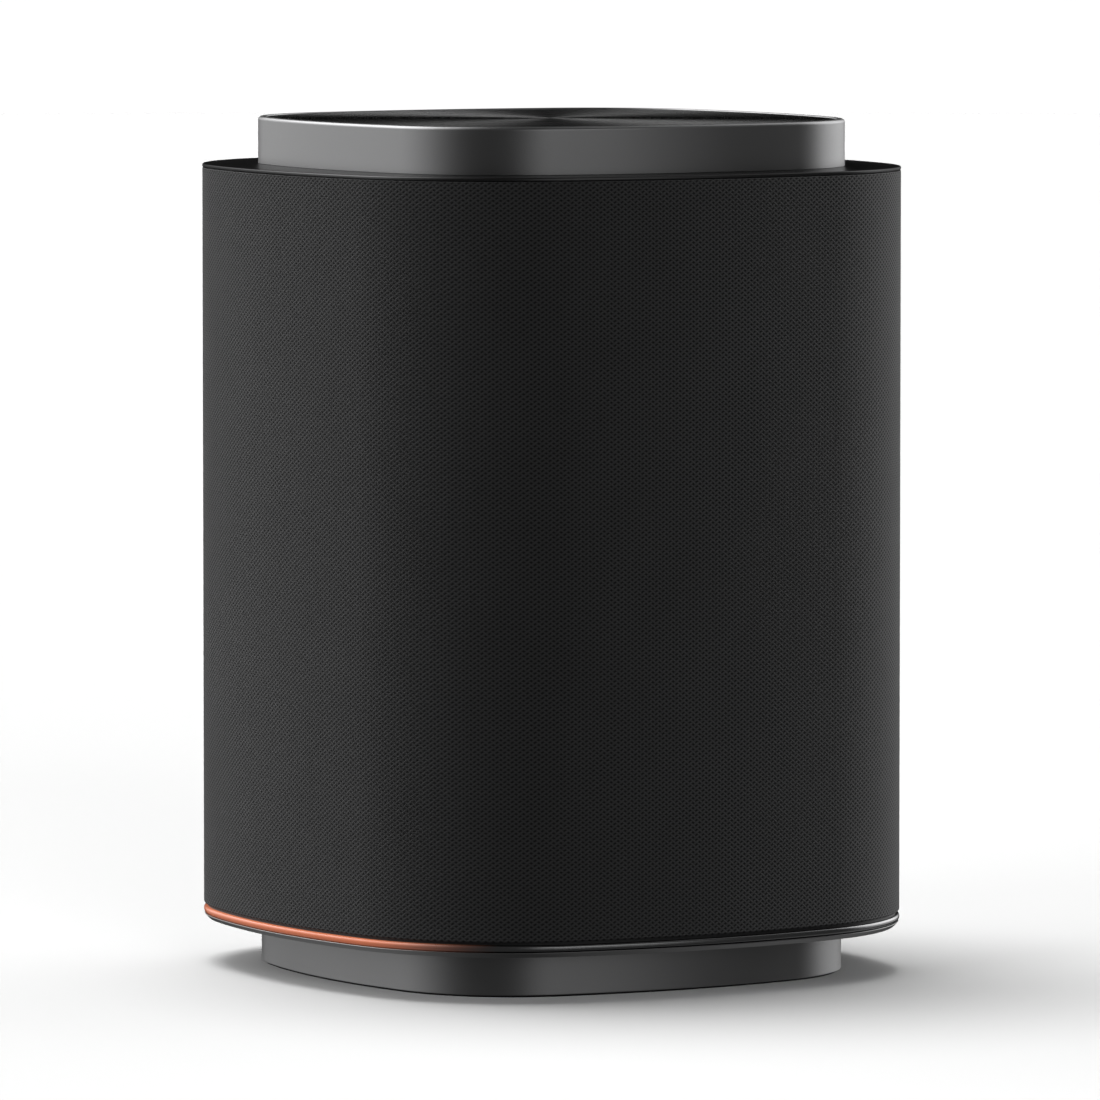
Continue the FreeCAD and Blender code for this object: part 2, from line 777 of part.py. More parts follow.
def make_enclosure_lid():
    body = new_body("enclosure_lid")
    bottom = "box_top + gasket_thick"
    sketch = new_sketch(body, "XY_Plane", bottom)
    draw_rounded_square(sketch, "box_half", "box_corner")
    pad(body, sketch, "lid_thick")
    top = f"{bottom} + lid_thick"
    bosses(body, square_points("board_post"), "board_post_radius", top, f"board_bottom - ({top})")
    holes(body, square_points("board_post"), "pilot_radius", top)
    holes(body, square_points("corner_boss") + cross_points("side_boss"), "clearance_radius", bottom)
    keep(body, "enclosure_lid")


def make_damping_pad():
    body = new_body("damping_pad")
    sketch = new_sketch(body, "XZ_Plane", "-box_half + box_wall")
    draw_rectangle(sketch, "-wadding_half", "wadding_half", "wadding_bottom", "wadding_top")
    pad(body, sketch, "wadding_thick")
    dress(body, "Fillet", "wadding_edge", lambda edge: edge.BoundBox.YLength > value("wadding_thick") / 2)
    keep(body, "damping_pad")


# ---------------------------------------------------------------- drivers

def make_woofer_basket():
    body = turned_body("woofer_basket", [
        ("woofer_flange", "woofer_gasket"), ("woofer_flange", "flange_top"),
        ("surround_rim + 0.2", "flange_top"), ("surround_rim + 0.2", "surround_seat"),
        ("woofer_hole - 1", "surround_seat"), ("woofer_hole - 2", "-2"),
        ("spider_rim + 1", "-spider_depth + 0.5"), ("spider_rim + 1", "-spider_depth"),
        ("spider_rim - 3", "-spider_depth"), ("spider_rim - 3", "-plate_face"),
        ("plate_radius + 1", "-plate_face"), ("plate_radius + 1", "-spider_depth - 1.5"),
        ("woofer_hole - 0.6", "-box_wall"), ("woofer_hole - 0.2", "woofer_gasket"),
    ])
    bosses(body, diagonal_points("woofer_ear"), "ear_radius", "woofer_gasket", "flange_top - woofer_gasket")
    holes(body, diagonal_points("woofer_ear"), "clearance_radius", "woofer_gasket")
    for role in ("XZ_Plane", "YZ_Plane"):
        window = new_sketch(body, role)
        draw_rectangle(window, "-basket_window", "basket_window", "-spider_depth + 1.5", "-box_wall - 1")
        pocket(body, window, both_ways=True)
    seat(body, TO_FRONT, "0", "-box_half", "woofer_height")
    keep(body, "woofer_basket")


def seat_woofer(piece, name):
    """Woofer pieces share one frame, on the front wall."""
    keep(seat(piece, TO_FRONT, "0", "-box_half", "woofer_height"), name)


def make_woofer_gasket():
    seat_woofer(tube("woofer_gasket_ring", "woofer_hole + 0.3", "woofer_flange - 0.5", "0", "woofer_gasket"),
                "woofer_gasket")


def make_woofer_motor():
    face = "-plate_face"
    plate_back = f"{face} - plate_thick"
    magnet_back = f"{plate_back} - magnet_thick"
    seat_woofer(tube("woofer_top_plate", "plate_hole", "plate_radius", plate_back, face), "woofer_top_plate")
    seat_woofer(tube("woofer_magnet", "magnet_hole", "magnet_radius", magnet_back, plate_back),
                "woofer_magnet")
    yoke = turned_body("woofer_yoke", [
        ("vent_radius", f"{magnet_back} - yoke_thick"), ("plate_radius - 1", f"{magnet_back} - yoke_thick"),
        ("plate_radius - 1", magnet_back), ("pole_radius", magnet_back),
        ("pole_radius", f"{face} + 0.5"), ("vent_radius", f"{face} + 0.5"),
    ])
    seat_woofer(yoke, "woofer_yoke")


def make_woofer_moving_parts():
    former_outer = "coil_inner + coil_wall"
    former = tube("woofer_coil_former", "coil_inner", former_outer, "-former_back", "-former_front")
    seat_woofer(former, "woofer_coil_former")
    winding = tube("woofer_coil_winding", former_outer, f"{former_outer} + winding_wall", "-winding_back",
                   "-winding_front")
    seat_woofer(winding, "woofer_coil_winding")
    neck = f"{former_outer} + 0.05"
    cone = turned_body("woofer_cone", [
        (neck, "-cone_depth"), (neck, "-cone_depth + cone_thick * 1.3"), ("cone_rim - 2", "cone_top"),
        ("cone_rim", "cone_top"), ("cone_rim", "cone_top - cone_thick"),
        ("cone_rim - 1.7", "cone_top - cone_thick"),
    ])
    seat_woofer(cone, "woofer_cone")
    cap_base = "-former_front - 0.1"
    seat_woofer(dome("woofer_dust_cap", "dust_cap_radius", "dust_cap_rise", "dust_cap_wall", cap_base),
                "woofer_dust_cap")


def make_woofer_surround():
    roll = half_roll("woofer_roll", "roll_centre", "roll_radius", "roll_wall", "surround_seat")
    inner_lip = tube("woofer_inner_lip", "cone_rim - 2", "roll_centre - roll_radius + roll_wall / 2",
                     "cone_top", "cone_top + roll_wall")
    step = tube("woofer_lip_step", "roll_centre - roll_radius - roll_wall / 2",
                "roll_centre - roll_radius + roll_wall / 2", "cone_top", "surround_seat + 0.1")
    outer_lip = tube("woofer_outer_lip", "roll_centre + roll_radius - roll_wall / 2", "surround_rim",
                     "surround_seat", "surround_seat + roll_wall")
    seat_woofer(fuse("woofer_surround", [roll, inner_lip, step, outer_lip]), "woofer_surround")


def make_woofer_spider():
    """Corrugated centring disc: folds that alternate up and down, with a flat rim."""
    folds = 10
    first = "coil_inner + coil_wall + 0.1"
    last = "spider_rim - 3.5"
    middle = "-spider_depth + spider_wall / 2"
    line = [(first, middle)]
    for number in range(1, folds):
        radius = f"{first} + ({last} - ({first})) * {number} / {folds}"
        line.append((radius, f"{middle} + {(-1) ** number} * ripple_height"))
    line += [(last, middle), ("spider_rim", middle)]
    upper = [(radius, f"{height} + spider_wall / 2") for radius, height in line]
    lower = [(radius, f"{height} - spider_wall / 2") for radius, height in reversed(line)]
    seat_woofer(turned_body("woofer_spider", upper + lower), "woofer_spider")


def make_radiator(side, rotation, wall_face):
    """One passive radiator: returns its frame, and keeps its rubber surround and weighted plate."""
    lip = "radiator_flange - 3"
    frame = turned_body(f"radiator_frame_{side}", [
        ("radiator_flange", "0"), ("radiator_flange", "radiator_flange_top"),
        (lip, "radiator_flange_top"), (lip, "radiator_seat"), ("radiator_hole - 2", "radiator_seat"),
        ("radiator_hole - 2", "-radiator_depth"), ("radiator_hole - 0.3", "-radiator_depth"),
        ("radiator_hole - 0.3", "0"),
    ])
    bosses(frame, diagonal_points("radiator_ear"), "ear_radius", "0", "radiator_flange_top")
    holes(frame, diagonal_points("radiator_ear"), "clearance_radius", "0")

    plate_top = "radiator_plate_thick"
    disc = cylinder(f"plate_disc_{side}", "radiator_plate", "0", plate_top)
    weight = cylinder(f"plate_weight_{side}", "radiator_mass_radius", "-radiator_mass_depth", "0")
    plate = fuse(f"radiator_plate_{side}", [disc, weight])

    wall = "radiator_roll_wall"
    centre = "radiator_plate + radiator_roll"
    roll = half_roll(f"radiator_roll_{side}", centre, "radiator_roll", wall, plate_top)
    inner_lip = tube(f"radiator_inner_lip_{side}", "radiator_plate - 2", f"radiator_plate + {wall} / 2",
                     plate_top, f"{plate_top} + {wall}")
    outer_lip = tube(f"radiator_outer_lip_{side}", f"{centre} + radiator_roll - {wall} / 2", f"{lip} - 0.2",
                     plate_top, f"{plate_top} + {wall}")
    surround = fuse(f"radiator_surround_{side}", [roll, inner_lip, outer_lip])
    for piece in (frame, plate, surround):
        seat(piece, rotation, wall_face, "0", "radiator_height")
    keep(plate, plate.Name)
    keep(surround, surround.Name)
    return frame


def make_radiators():
    frames = [make_radiator("right", TO_RIGHT, "box_half"), make_radiator("left", TO_LEFT, "-box_half")]
    keep(group("radiator_frames", frames), "radiator_frames")


def make_tweeter(side, offset):
    """One dome tweeter: returns its sealed housing, magnet and roll edge, and keeps its dome."""
    throat = "dome_radius + 3"
    housing = turned_body(f"tweeter_housing_{side}", [
        ("tweeter_flange", "0"), ("tweeter_flange", "tweeter_top"), (f"{throat} + 0.8", "tweeter_top"),
        (throat, "dome_base"), (throat, "0"), ("dome_radius + 1.6", "0"),
        ("dome_radius + 1.6", "-tweeter_can"), ("0", "-tweeter_can"), ("0", "-tweeter_can - 1.5"),
        ("tweeter_hole - 0.3", "-tweeter_can - 1.5"), ("tweeter_hole - 0.3", "0"),
    ])
    holes(housing, [("-tweeter_screw", "0"), ("tweeter_screw", "0")], "small_screw_radius + 0.2", "0")

    coil_outer = "tweeter_coil + tweeter_coil_wall"
    magnet = turned_body(f"tweeter_magnet_{side}", [
        ("0", "-tweeter_can"), ("dome_radius + 1.4", "-tweeter_can"), ("dome_radius + 1.4", "-3.5"),
        (f"{coil_outer} + tweeter_gap", "-3.5"), (f"{coil_outer} + tweeter_gap", "-8"),
        ("tweeter_coil - tweeter_gap", "-8"), ("tweeter_coil - tweeter_gap", "-3"), ("0", "-3"),
    ])

    cap = dome(f"tweeter_cap_{side}", "dome_radius", "dome_rise", "dome_wall", "dome_base")
    coil = tube(f"tweeter_coil_{side}", "tweeter_coil", coil_outer, "-6", "dome_base")
    shelf = tube(f"tweeter_shelf_{side}", "tweeter_coil", "dome_radius", "dome_base - dome_wall", "dome_base")
    moving = fuse(f"tweeter_dome_{side}", [cap, coil, shelf])

    edge_roll = half_roll(f"tweeter_roll_{side}", "dome_radius + 1", "0.85", "0.2", "dome_base")
    edge_lip = tube(f"tweeter_lip_{side}", "dome_radius + 1.75", f"{throat} - 0.1", "0", "dome_base + 0.2")
    edge = fuse(f"tweeter_edge_{side}", [edge_roll, edge_lip])
    for piece in (housing, magnet, moving, edge):
        seat(piece, TO_FRONT, offset, "-box_half", "tweeter_height")
    keep(moving, moving.Name)
    return housing, magnet, edge


def make_tweeters():
    pairs = zip(make_tweeter("left", "-tweeter_offset"), make_tweeter("right", "tweeter_offset"))
    for name, pair in zip(("tweeter_housings", "tweeter_magnets", "tweeter_surrounds"), pairs):
        keep(group(name, list(pair)), name)


# ---------------------------------------------------------------- electronics

def make_main_board():
    body = new_body("main_board")
    sketch = new_sketch(body, "XY_Plane", "board_bottom")
    draw_rounded_square(sketch, "board_half", "board_corner")
    pad(body, sketch, "board_thick")
    holes(body, square_points("board_post"), "clearance_radius", "board_bottom")
    keep(body, "main_board")


def make_board_parts():
    """Parts soldered on the main board, by kind."""
    top = "board_bottom + board_thick"
    chips = [block("processor", "-32", "-14", "6", "24", top, f"{top} + chip_rise"),
             block("memory", "-32", "-20", "-8", "0", top, f"{top} + chip_rise"),
             block("amplifier", "sink_across - 8", "sink_across + 8", "sink_along - 7", "sink_along + 7",
                   top, f"{top} + chip_rise")]
    keep(group("board_chips", chips), "board_chips")
    cans = [cylinder(f"capacitor_{number}", "capacitor_radius", top, f"{top} + capacitor_rise",
                     f"capacitor_row + {number} * capacitor_pitch", "capacitor_row") for number in range(4)]
    keep(group("power_capacitors", cans), "power_capacitors")
    chokes = []
    for number, across in enumerate(("17", "28")):
        chokes.append(block(f"choke_{number}", f"{across} - choke_half", f"{across} + choke_half",
                            "capacitor_row - choke_half", "capacitor_row + choke_half",
                            top, f"{top} + choke_rise"))
    keep(group("output_chokes", chokes), "output_chokes")
    keep(block("radio_module", "-8", "8", "18", "34", top, f"{top} + radio_rise"), "radio_module")


def make_heatsink():
    """Finned block that sits on the amplifier chip."""
    body = new_body("heatsink")
    bottom = "board_bottom + board_thick + chip_rise"
    left = "sink_across - sink_width / 2"
    front = "sink_along - sink_depth / 2"
    back = "sink_along + sink_depth / 2"
    base = new_sketch(body, "XY_Plane", bottom)
    draw_rectangle(base, left, f"{left} + sink_width", front, back)
    pad(body, base, "sink_base")
    blade = new_sketch(body, "XY_Plane", f"{bottom} + sink_base")
    draw_rectangle(blade, left, f"{left} + fin_thick", front, back)
    fin = pad(body, blade, "sink_rise - sink_base")
    fins = body.newObject("PartDesign::LinearPattern", "heatsink_fins")
    fins.Originals = [fin]
    fins.Direction = (next(f for f in body.Origin.OriginFeatures if f.Role == "X_Axis"), [""])
    count = int((value("sink_width") - value("fin_thick")) // value("fin_pitch")) + 1
    fins.setExpression("Length", bind(f"fin_pitch * {count - 1}"))
    fins.Occurrences = count
    body.Tip = fins
    keep(body, "heatsink")


def make_antennas():
    """Two printed aerials that stand on edge at the left and right of the bay."""
    foot = "box_top + gasket_thick + lid_thick"
    blades = []
    for number, sign in enumerate((-1, 1)):
        middle = f"{sign} * aerial_reach"
        left = f"{middle} - aerial_thick / 2"
        blades.append(block(f"aerial_{number}", left, f"{left} + aerial_thick", "-aerial_half", "aerial_half",
                            foot, f"{foot} + aerial_rise"))
    keep(group("antennas", blades), "antennas")


def rounded_path(points, bend):
    """Straight runs joined by tangent arcs, through a list of corner points."""
    edges = []
    last = points[0]
    for before, corner, after in zip(points, points[1:], points[2:]):
        start = corner + (before - corner).normalize() * bend
        end = corner + (after - corner).normalize() * bend
        centre = start + (after - corner).normalize() * bend
        middle = centre + (corner - centre).normalize() * bend
        edges.append(Part.LineSegment(last, start).toShape())
        edges.append(Part.Arc(start, middle, end).toShape())
        last = end
    edges.append(Part.LineSegment(last, points[-1]).toShape())
    return Part.Wire(edges)


def make_power_leads():
    """Two insulated wires from the inlet, up the gap behind the box, to the main board."""
    wires = []
    spread = value("lead_spread")
    for across in (-spread, spread):
        route = [(49, value("foot_height + base_thick + inlet_rise")), (49, 18.5), (64, 18.5),
                 (64, 174), (38, 174), (38, value("board_bottom + board_thick"))]
        points = [FreeCAD.Vector(across, along, up) for along, up in route]
        path = rounded_path(points, value("lead_bend"))
        section = Part.Wire(Part.Circle(points[0], Z_AXIS, value("lead_radius")).toShape())
        wires.append(path.makePipeShell([section], True, False))
    leads = doc.addObject("Part::Feature", "power_leads")
    leads.Shape = Part.makeCompound(wires)
    keep(leads, "power_leads")


def make_ribbons():
    """Flat cables from the main board: down to the light bar and up to the touch board."""
    body = new_body("led_ribbon")
    sketch = new_sketch(body, "YZ_Plane", "led_ribbon_left")
    thick = "ribbon_thick"
    bottom = "light_bottom + led_board_thick"
    top = "board_bottom + board_thick"
    draw_polygon(sketch, [
        ("led_ribbon_front", bottom), (f"led_ribbon_front + {thick}", bottom),
        (f"led_ribbon_front + {thick}", "led_ribbon_low"), (f"led_ribbon_back + {thick}", "led_ribbon_low"),
        (f"led_ribbon_back + {thick}", f"led_ribbon_high + {thick}"),
        ("led_ribbon_end", f"led_ribbon_high + {thick}"), ("led_ribbon_end", top),
        (f"led_ribbon_end + {thick}", top), (f"led_ribbon_end + {thick}", "led_ribbon_high"),
        ("led_ribbon_back", "led_ribbon_high"), ("led_ribbon_back", f"led_ribbon_low + {thick}"),
        ("led_ribbon_front", f"led_ribbon_low + {thick}"),
    ])
    pad(body, sketch, "led_ribbon_width")
    keep(body, "led_ribbon")
    panel_bottom = "total_height - panel_recess - panel_thick"
    keep(block("touch_ribbon", "touch_ribbon_left", "touch_ribbon_left + touch_ribbon_width",
               "touch_ribbon_along", "touch_ribbon_along + ribbon_thick", top,
               f"{panel_bottom} - touch_board_thick"), "touch_ribbon")


def make_power_inlet():
    """Barrel socket that shows in a window of the plinth's back wall."""
    face = "half_width - plinth_inset - 0.2"
    low = "foot_height + base_thick"
    shell = block("inlet_shell", "-inlet_width / 2", "inlet_width / 2", f"{face} - inlet_depth", face,
                  low, f"{low} + inlet_rise")
    bore = doc.addObject("Part::Cylinder", "inlet_bore")
    bore.setExpression("Radius", bind("inlet_bore"))
    bore.setExpression("Height", bind("inlet_bore_depth + 1"))
    seat(bore, TO_FRONT, "0", f"{face} + 1", f"{low} + inlet_rise / 2")
    keep(cut("power_inlet", shell, bore), "power_inlet")
    pin = doc.addObject("Part::Cylinder", "power_inlet_pin")
    pin.setExpression("Radius", bind("inlet_pin"))
    pin.setExpression("Height", bind("inlet_bore_depth - 1"))
    keep(seat(pin, TO_FRONT, "0", f"{face} - 1", f"{low} + inlet_rise / 2"), "power_inlet_pin")


# ---------------------------------------------------------------- top

def make_top_deck():
    body = ring_body("top_deck", "sleeve_thick + frame_thick + frame_gap", "deck_width",
                     "deck_seat - deck_drop", "deck_drop")
    sketch = new_sketch(body, "XY_Plane", "deck_seat")
    draw_outline(sketch, "0")
    draw_outline(sketch, "deck_width")
    pad(body, sketch, "deck_top - deck_seat")
    dress(body, "Fillet", "deck_edge", edge_at("deck_top", "half_width - 1"))
    bottom = "deck_seat - deck_drop"
    holes(body, square_points("corner_boss"), "clearance_radius", bottom)
    holes(body, square_points("corner_boss"), "screw_head + 0.15", "deck_top - screw_head_rise")
    holes(body, cross_points("cap_boss_reach"), "clearance_radius", bottom)
    keep(body, "top_deck")


def make_top_cap_ring():
    body = ring_body("top_cap_ring", "cap_inset", "cap_inset + cap_wall", "deck_top",
                     "total_height - deck_top")
    shelf_top = "total_height - panel_recess - panel_thick"
    shelf = new_sketch(body, "XY_Plane", f"{shelf_top} - shelf_thick")
    draw_outline(shelf, "cap_inset + cap_wall / 2")
    draw_outline(shelf, "cap_inset + cap_wall + cap_shelf")
    pad(body, shelf, "shelf_thick")
    bosses(body, cross_points("cap_boss_reach"), "boss_radius", "deck_top", "cap_boss_rise")
    holes(body, cross_points("cap_boss_reach"), "pilot_radius", "deck_top", "cap_boss_rise")
    dress(body, "Fillet", "cap_edge", edge_at("total_height", "half_width - cap_inset - 0.5"))
    keep(body, "top_cap_ring")


def make_top_panel():
    """Spun metal disc of the cap, with a ring of pin holes over the microphones."""
    bottom = "total_height - panel_recess - panel_thick"
    body = ring_body("top_panel", "cap_inset + cap_wall + panel_gap", None, bottom, "panel_thick")
    sketch = new_sketch(body, "XY_Plane", bottom)
    draw_circle(sketch, "microphone_circle", "0", "microphone_hole")
    hole = pocket(body, sketch, reverse=True)
    circle = body.newObject("PartDesign::PolarPattern", "microphone_holes")
    circle.Originals = [hole]
    circle.Axis = (next(f for f in body.Origin.OriginFeatures if f.Role == "Z_Axis"), [""])
    circle.Angle = 360
    circle.Occurrences = 6
    body.Tip = circle
    keep(body, "top_panel")


def make_touch_board():
    top = "total_height - panel_recess - panel_thick"
    board = ring_body("touch_board", "cap_inset + cap_wall + cap_shelf + 0.3", None,
                      f"{top} - touch_board_thick", "touch_board_thick")
    holes(board, [(f"microphone_circle * cos({60 * n} * 1deg)", f"microphone_circle * sin({60 * n} * 1deg)")
                  for n in range(6)], "microphone_hole", f"{top} - touch_board_thick")
    keep(board, "touch_board")
    cans = []
    for number in range(6):
        across = f"microphone_circle * cos({60 * number} * 1deg)"
        along = f"microphone_circle * sin({60 * number} * 1deg)"
        can_top = f"{top} - touch_board_thick"
        cans.append(block(f"microphone_{number}", f"{across} - 2", f"{across} + 2", f"{along} - 1.5",
                          f"{along} + 1.5", f"{can_top} - 1.1", can_top))
    keep(group("microphones", cans), "microphones")


# ---------------------------------------------------------------- fasteners

def screw_shape(radius, head, head_rise, length):
    """Pan-head screw with a hexagon socket: head on Z = 0 and above, shank below."""
    screw = Part.makeCylinder(value(head), value(head_rise))
    screw = screw.makeFillet(value(head_rise) * 0.4, [screw.Edges[0]])
    screw = screw.fuse(Part.makeCylinder(value(radius), length, FreeCAD.Vector(0, 0, -length)))
    points = [FreeCAD.Rotation(Z_AXIS, 60 * n) * FreeCAD.Vector(value(head) * 0.5, 0, 0) for n in range(7)]
    depth = value(head_rise) * 0.6
    socket = Part.Face(Part.makePolygon(points)).extrude(FreeCAD.Vector(0, 0, depth + 1))
    socket.translate(FreeCAD.Vector(0, 0, value(head_rise) - depth))
    return screw.cut(socket).removeSplitter()


def screw_set(name, places, length, small=False):
    """Identical screws that share a node; each place is a seat (x, y, z) and a turn of the head."""
    sizes = ("screw_radius", "screw_head", "screw_head_rise")
    if small:
        sizes = ("small_screw_radius", "small_screw_head", "small_head_rise")
    shape = screw_shape(*sizes, value(length))
    copies = []
    for across, along, up, turn in places:
        copy = shape.copy()
        spot = FreeCAD.Vector(value(across), value(along), value(up))
        copy.Placement = FreeCAD.Placement(spot, turn)
        copies.append(copy)
    screws = doc.addObject("Part::Feature", name)
    screws.Shape = Part.makeCompound(copies)
    keep(screws, name)


def make_standoffs():
    """Hexagon pillars: studs hold the lid's corners, tops carry the deck."""
    foot = value("box_top + gasket_thick + lid_thick")
    top = value("deck_seat - deck_drop")
    points = [FreeCAD.Rotation(Z_AXIS, 60 * n) * FreeCAD.Vector(3.2, 0, 0) for n in range(7)]
    pillar = Part.Face(Part.makePolygon(points)).extrude(FreeCAD.Vector(0, 0, top - foot))
    pillar = pillar.cut(Part.makeCylinder(value("pilot_radius"), 9, FreeCAD.Vector(0, 0, top - foot - 8)))
    pillar = pillar.fuse(Part.makeCylinder(value("screw_radius"), 14, FreeCAD.Vector(0, 0, -14)))
    copies = []
    for across, along in square_points("corner_boss"):
        copy = pillar.copy()
        spot = FreeCAD.Vector(value(across), value(along), foot)
        copy.Placement = FreeCAD.Placement(spot, FreeCAD.Rotation())
        copies.append(copy)
    pillars = doc.addObject("Part::Feature", "deck_standoffs")
    pillars.Shape = Part.makeCompound(copies)
    keep(pillars, "deck_standoffs")


def make_screws():
    upright = FreeCAD.Rotation()
    hanging = FreeCAD.Rotation(X_AXIS, 180)
    screw_set("base_screws", [(x, y, "foot_height + screw_head_rise", hanging)
                              for x, y in diagonal_points("base_screw_reach")],
              "trim_top + chassis_thick - foot_height - screw_head_rise")
    screw_set("chassis_screws", [(x, y, "trim_top + screw_head_rise", hanging)
                                 for x, y in square_points("post_reach")],
              "box_bottom + box_floor - 1 - trim_top - screw_head_rise")
    screw_set("lid_screws", [(x, y, "box_top + gasket_thick + lid_thick", upright)
                             for x, y in cross_points("side_boss")], "long_screw")
    short = [(x, y, "board_bottom + board_thick", upright) for x, y in square_points("board_post")]
    short += [(x, y, "deck_top - screw_head_rise", upright) for x, y in square_points("corner_boss")]
    short += [(x, y, "deck_seat - deck_drop", hanging) for x, y in cross_points("cap_boss_reach")]
    screw_set("short_screws", short, "short_screw")
    drivers = [(x, "-box_half - flange_top", z, TO_FRONT)
               for x, z in ear_points("woofer_ear", "0", "woofer_height")]
    for sign, turn in ((1, TO_RIGHT), (-1, TO_LEFT)):
        drivers += [(f"{sign} * (box_half + radiator_flange_top)", y, z, turn)
                    for y, z in ear_points("radiator_ear", "0", "radiator_height")]
    screw_set("driver_screws", drivers, "driver_screw")
    tweeters = [(x, "-box_half - tweeter_top", z, TO_FRONT)
                for side in ("-tweeter_offset", "tweeter_offset") for x, z in tweeter_screw_points(side)]
    screw_set("tweeter_screws", tweeters, "tweeter_screw_reach", small=True)


# ---------------------------------------------------------------- checks and export

def check_document():
    """Stop if any object failed to build or any sub-part has a bad shape."""
    doc.recompute()
    for item in doc.Objects:
        if "Invalid" in item.State or "Error" in item.State:
            raise RuntimeError(f"{item.Label} failed: {item.State}")
    names = [piece.Label for piece in parts]
    if len(set(names)) != len(names) or len(names) > 60:
        raise RuntimeError(f"bad list of sub-parts: {len(names)}")
    for piece in parts:
        shape = piece.Shape
        if shape.isNull() or not shape.isValid() or not shape.Solids:
            raise RuntimeError(f"{piece.Label} has no valid solid")


def export_parts():
    os.makedirs("parts", exist_ok=True)
    for old in os.listdir("parts"):
        os.remove(os.path.join("parts", old))
    for piece in parts:
        piece.Shape.exportStep(os.path.join("parts", f"{piece.Label}.step"))
        print(f"{piece.Label:26s} solids {len(piece.Shape.Solids):2d}  volume {piece.Shape.Volume:10.1f}")


make_foot_pad()
make_base_plate()
make_base_plinth()
make_trim_and_light()
make_leds()
make_fabric_sleeve()
make_grille_frame()
make_chassis_plate()
make_enclosure_body()
make_enclosure_gasket()
make_enclosure_lid()
make_damping_pad()
make_woofer_basket()
make_woofer_gasket()
make_woofer_motor()
make_woofer_moving_parts()
make_woofer_surround()
make_woofer_spider()
make_radiators()
make_tweeters()
make_main_board()
make_board_parts()
make_heatsink()
make_antennas()
make_power_leads()
make_ribbons()
make_power_inlet()
make_top_deck()
make_top_cap_ring()
make_top_panel()
make_touch_board()
make_standoffs()
make_screws()
check_document()
export_parts()
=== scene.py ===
import json
import math

import bpy
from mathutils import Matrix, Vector


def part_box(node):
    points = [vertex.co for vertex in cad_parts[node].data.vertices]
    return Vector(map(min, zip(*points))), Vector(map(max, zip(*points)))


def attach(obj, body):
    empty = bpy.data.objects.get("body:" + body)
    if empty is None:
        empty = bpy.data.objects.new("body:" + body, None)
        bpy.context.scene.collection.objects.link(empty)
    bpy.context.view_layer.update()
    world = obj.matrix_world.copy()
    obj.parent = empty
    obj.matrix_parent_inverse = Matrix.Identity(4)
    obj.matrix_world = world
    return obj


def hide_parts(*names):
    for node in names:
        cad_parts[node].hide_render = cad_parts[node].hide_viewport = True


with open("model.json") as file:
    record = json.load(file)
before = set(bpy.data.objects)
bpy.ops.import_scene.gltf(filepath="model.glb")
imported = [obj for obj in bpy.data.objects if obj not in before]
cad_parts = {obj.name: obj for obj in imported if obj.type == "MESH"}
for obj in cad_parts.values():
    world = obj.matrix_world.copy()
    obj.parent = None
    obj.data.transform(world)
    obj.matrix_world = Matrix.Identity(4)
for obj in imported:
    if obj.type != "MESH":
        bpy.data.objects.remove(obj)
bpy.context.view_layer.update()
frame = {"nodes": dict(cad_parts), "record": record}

# Looks of a table-top smart speaker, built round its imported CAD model.
#
# Everything is in metres in the CAD frame: Z is up, the front faces -Y and the part stands on
# Z = 0.  The body's outline is a rounded square with bowed sides.  Every ring of the body is
# that outline moved inwards by an inset, so one sweep builds them all.

MM = 0.001
CASE = "case"

# The outline is four bowed sides and four corners, each an arc that runs smoothly into the next.
# The steps say how finely half a side, a corner and the rounded edges of a profile are cut.
HALF_WIDTH = 75 * MM
SIDE_RADIUS = 173 * MM
CORNER_RADIUS = 47.3 * MM
SIDE_CENTRE = SIDE_RADIUS - HALF_WIDTH
ARC_GAP = SIDE_RADIUS - CORNER_RADIUS
CORNER_CENTRE = (math.sqrt(2 * ARC_GAP ** 2 - SIDE_CENTRE ** 2) - SIDE_CENTRE) / 2
SIDE_SWEEP = math.atan2(CORNER_CENTRE, CORNER_CENTRE + SIDE_CENTRE)
HALF_SIDE_STEPS = 14
CORNER_STEPS = 32
PROFILE_STEP = math.radians(9)

# Insets, widths and gaps of the rings.  CLOTH_LIFT is how far the cloth's edges stand above the
# sleeve's, and HAIR is the radius of an edge that looks sharp and the least length that counts.
CLOTH_THICK = 0.9 * MM
CLOTH_LIFT = 0.25 * MM
SKELETON_INNER = 3.1 * MM
CAP_INSET = 13.1 * MM
CAP_WALL = 2.0 * MM
PLINTH_INSET = 13.6 * MM
PLINTH_WALL = 2.5 * MM
RING_WIDTH = 24 * MM
DECK_WIDTH = 22 * MM
LIGHT_DEPTH = 3.2 * MM
LIGHT_HALF_ANGLE = math.radians(52)
BEVEL = 1.2 * MM
GROOVE = 0.1 * MM
DECK_LIP = 0.8 * MM
INLET_GAP = 0.1 * MM
HAIR = 0.01 * MM

# Radii of the edges.
BEAD_BELOW = 0.70 * MM
BEAD_ABOVE = 0.65 * MM
BEVEL_FOOT = 0.20 * MM
BEVEL_TOP = 0.12 * MM
SPIGOT_FOOT = 0.30 * MM
DECK_SEAT = 0.20 * MM
DECK_RIM = 0.35 * MM
CAP_FOOT = 0.10 * MM
CAP_RIM = 0.80 * MM
CAP_INNER_RIM = 0.25 * MM
PLINTH_FOOT = 0.15 * MM
PLINTH_HEAD = 0.10 * MM

# How many stations the inlet's window in the plinth reaches either side of the middle.
WINDOW_REACH = 2

# The knit: how many wales go round the body, how high a course is, and half the seam's width.
WALES = 290
COURSE = 1.125 * MM
SEAM_HALF = 0.7 * MM


def place_object(name, data):
    """A new object in the scene."""
    piece = bpy.data.objects.new(name, data)
    bpy.context.scene.collection.objects.link(piece)
    return piece


# ------------------------------------------------------------------------------ swept rings


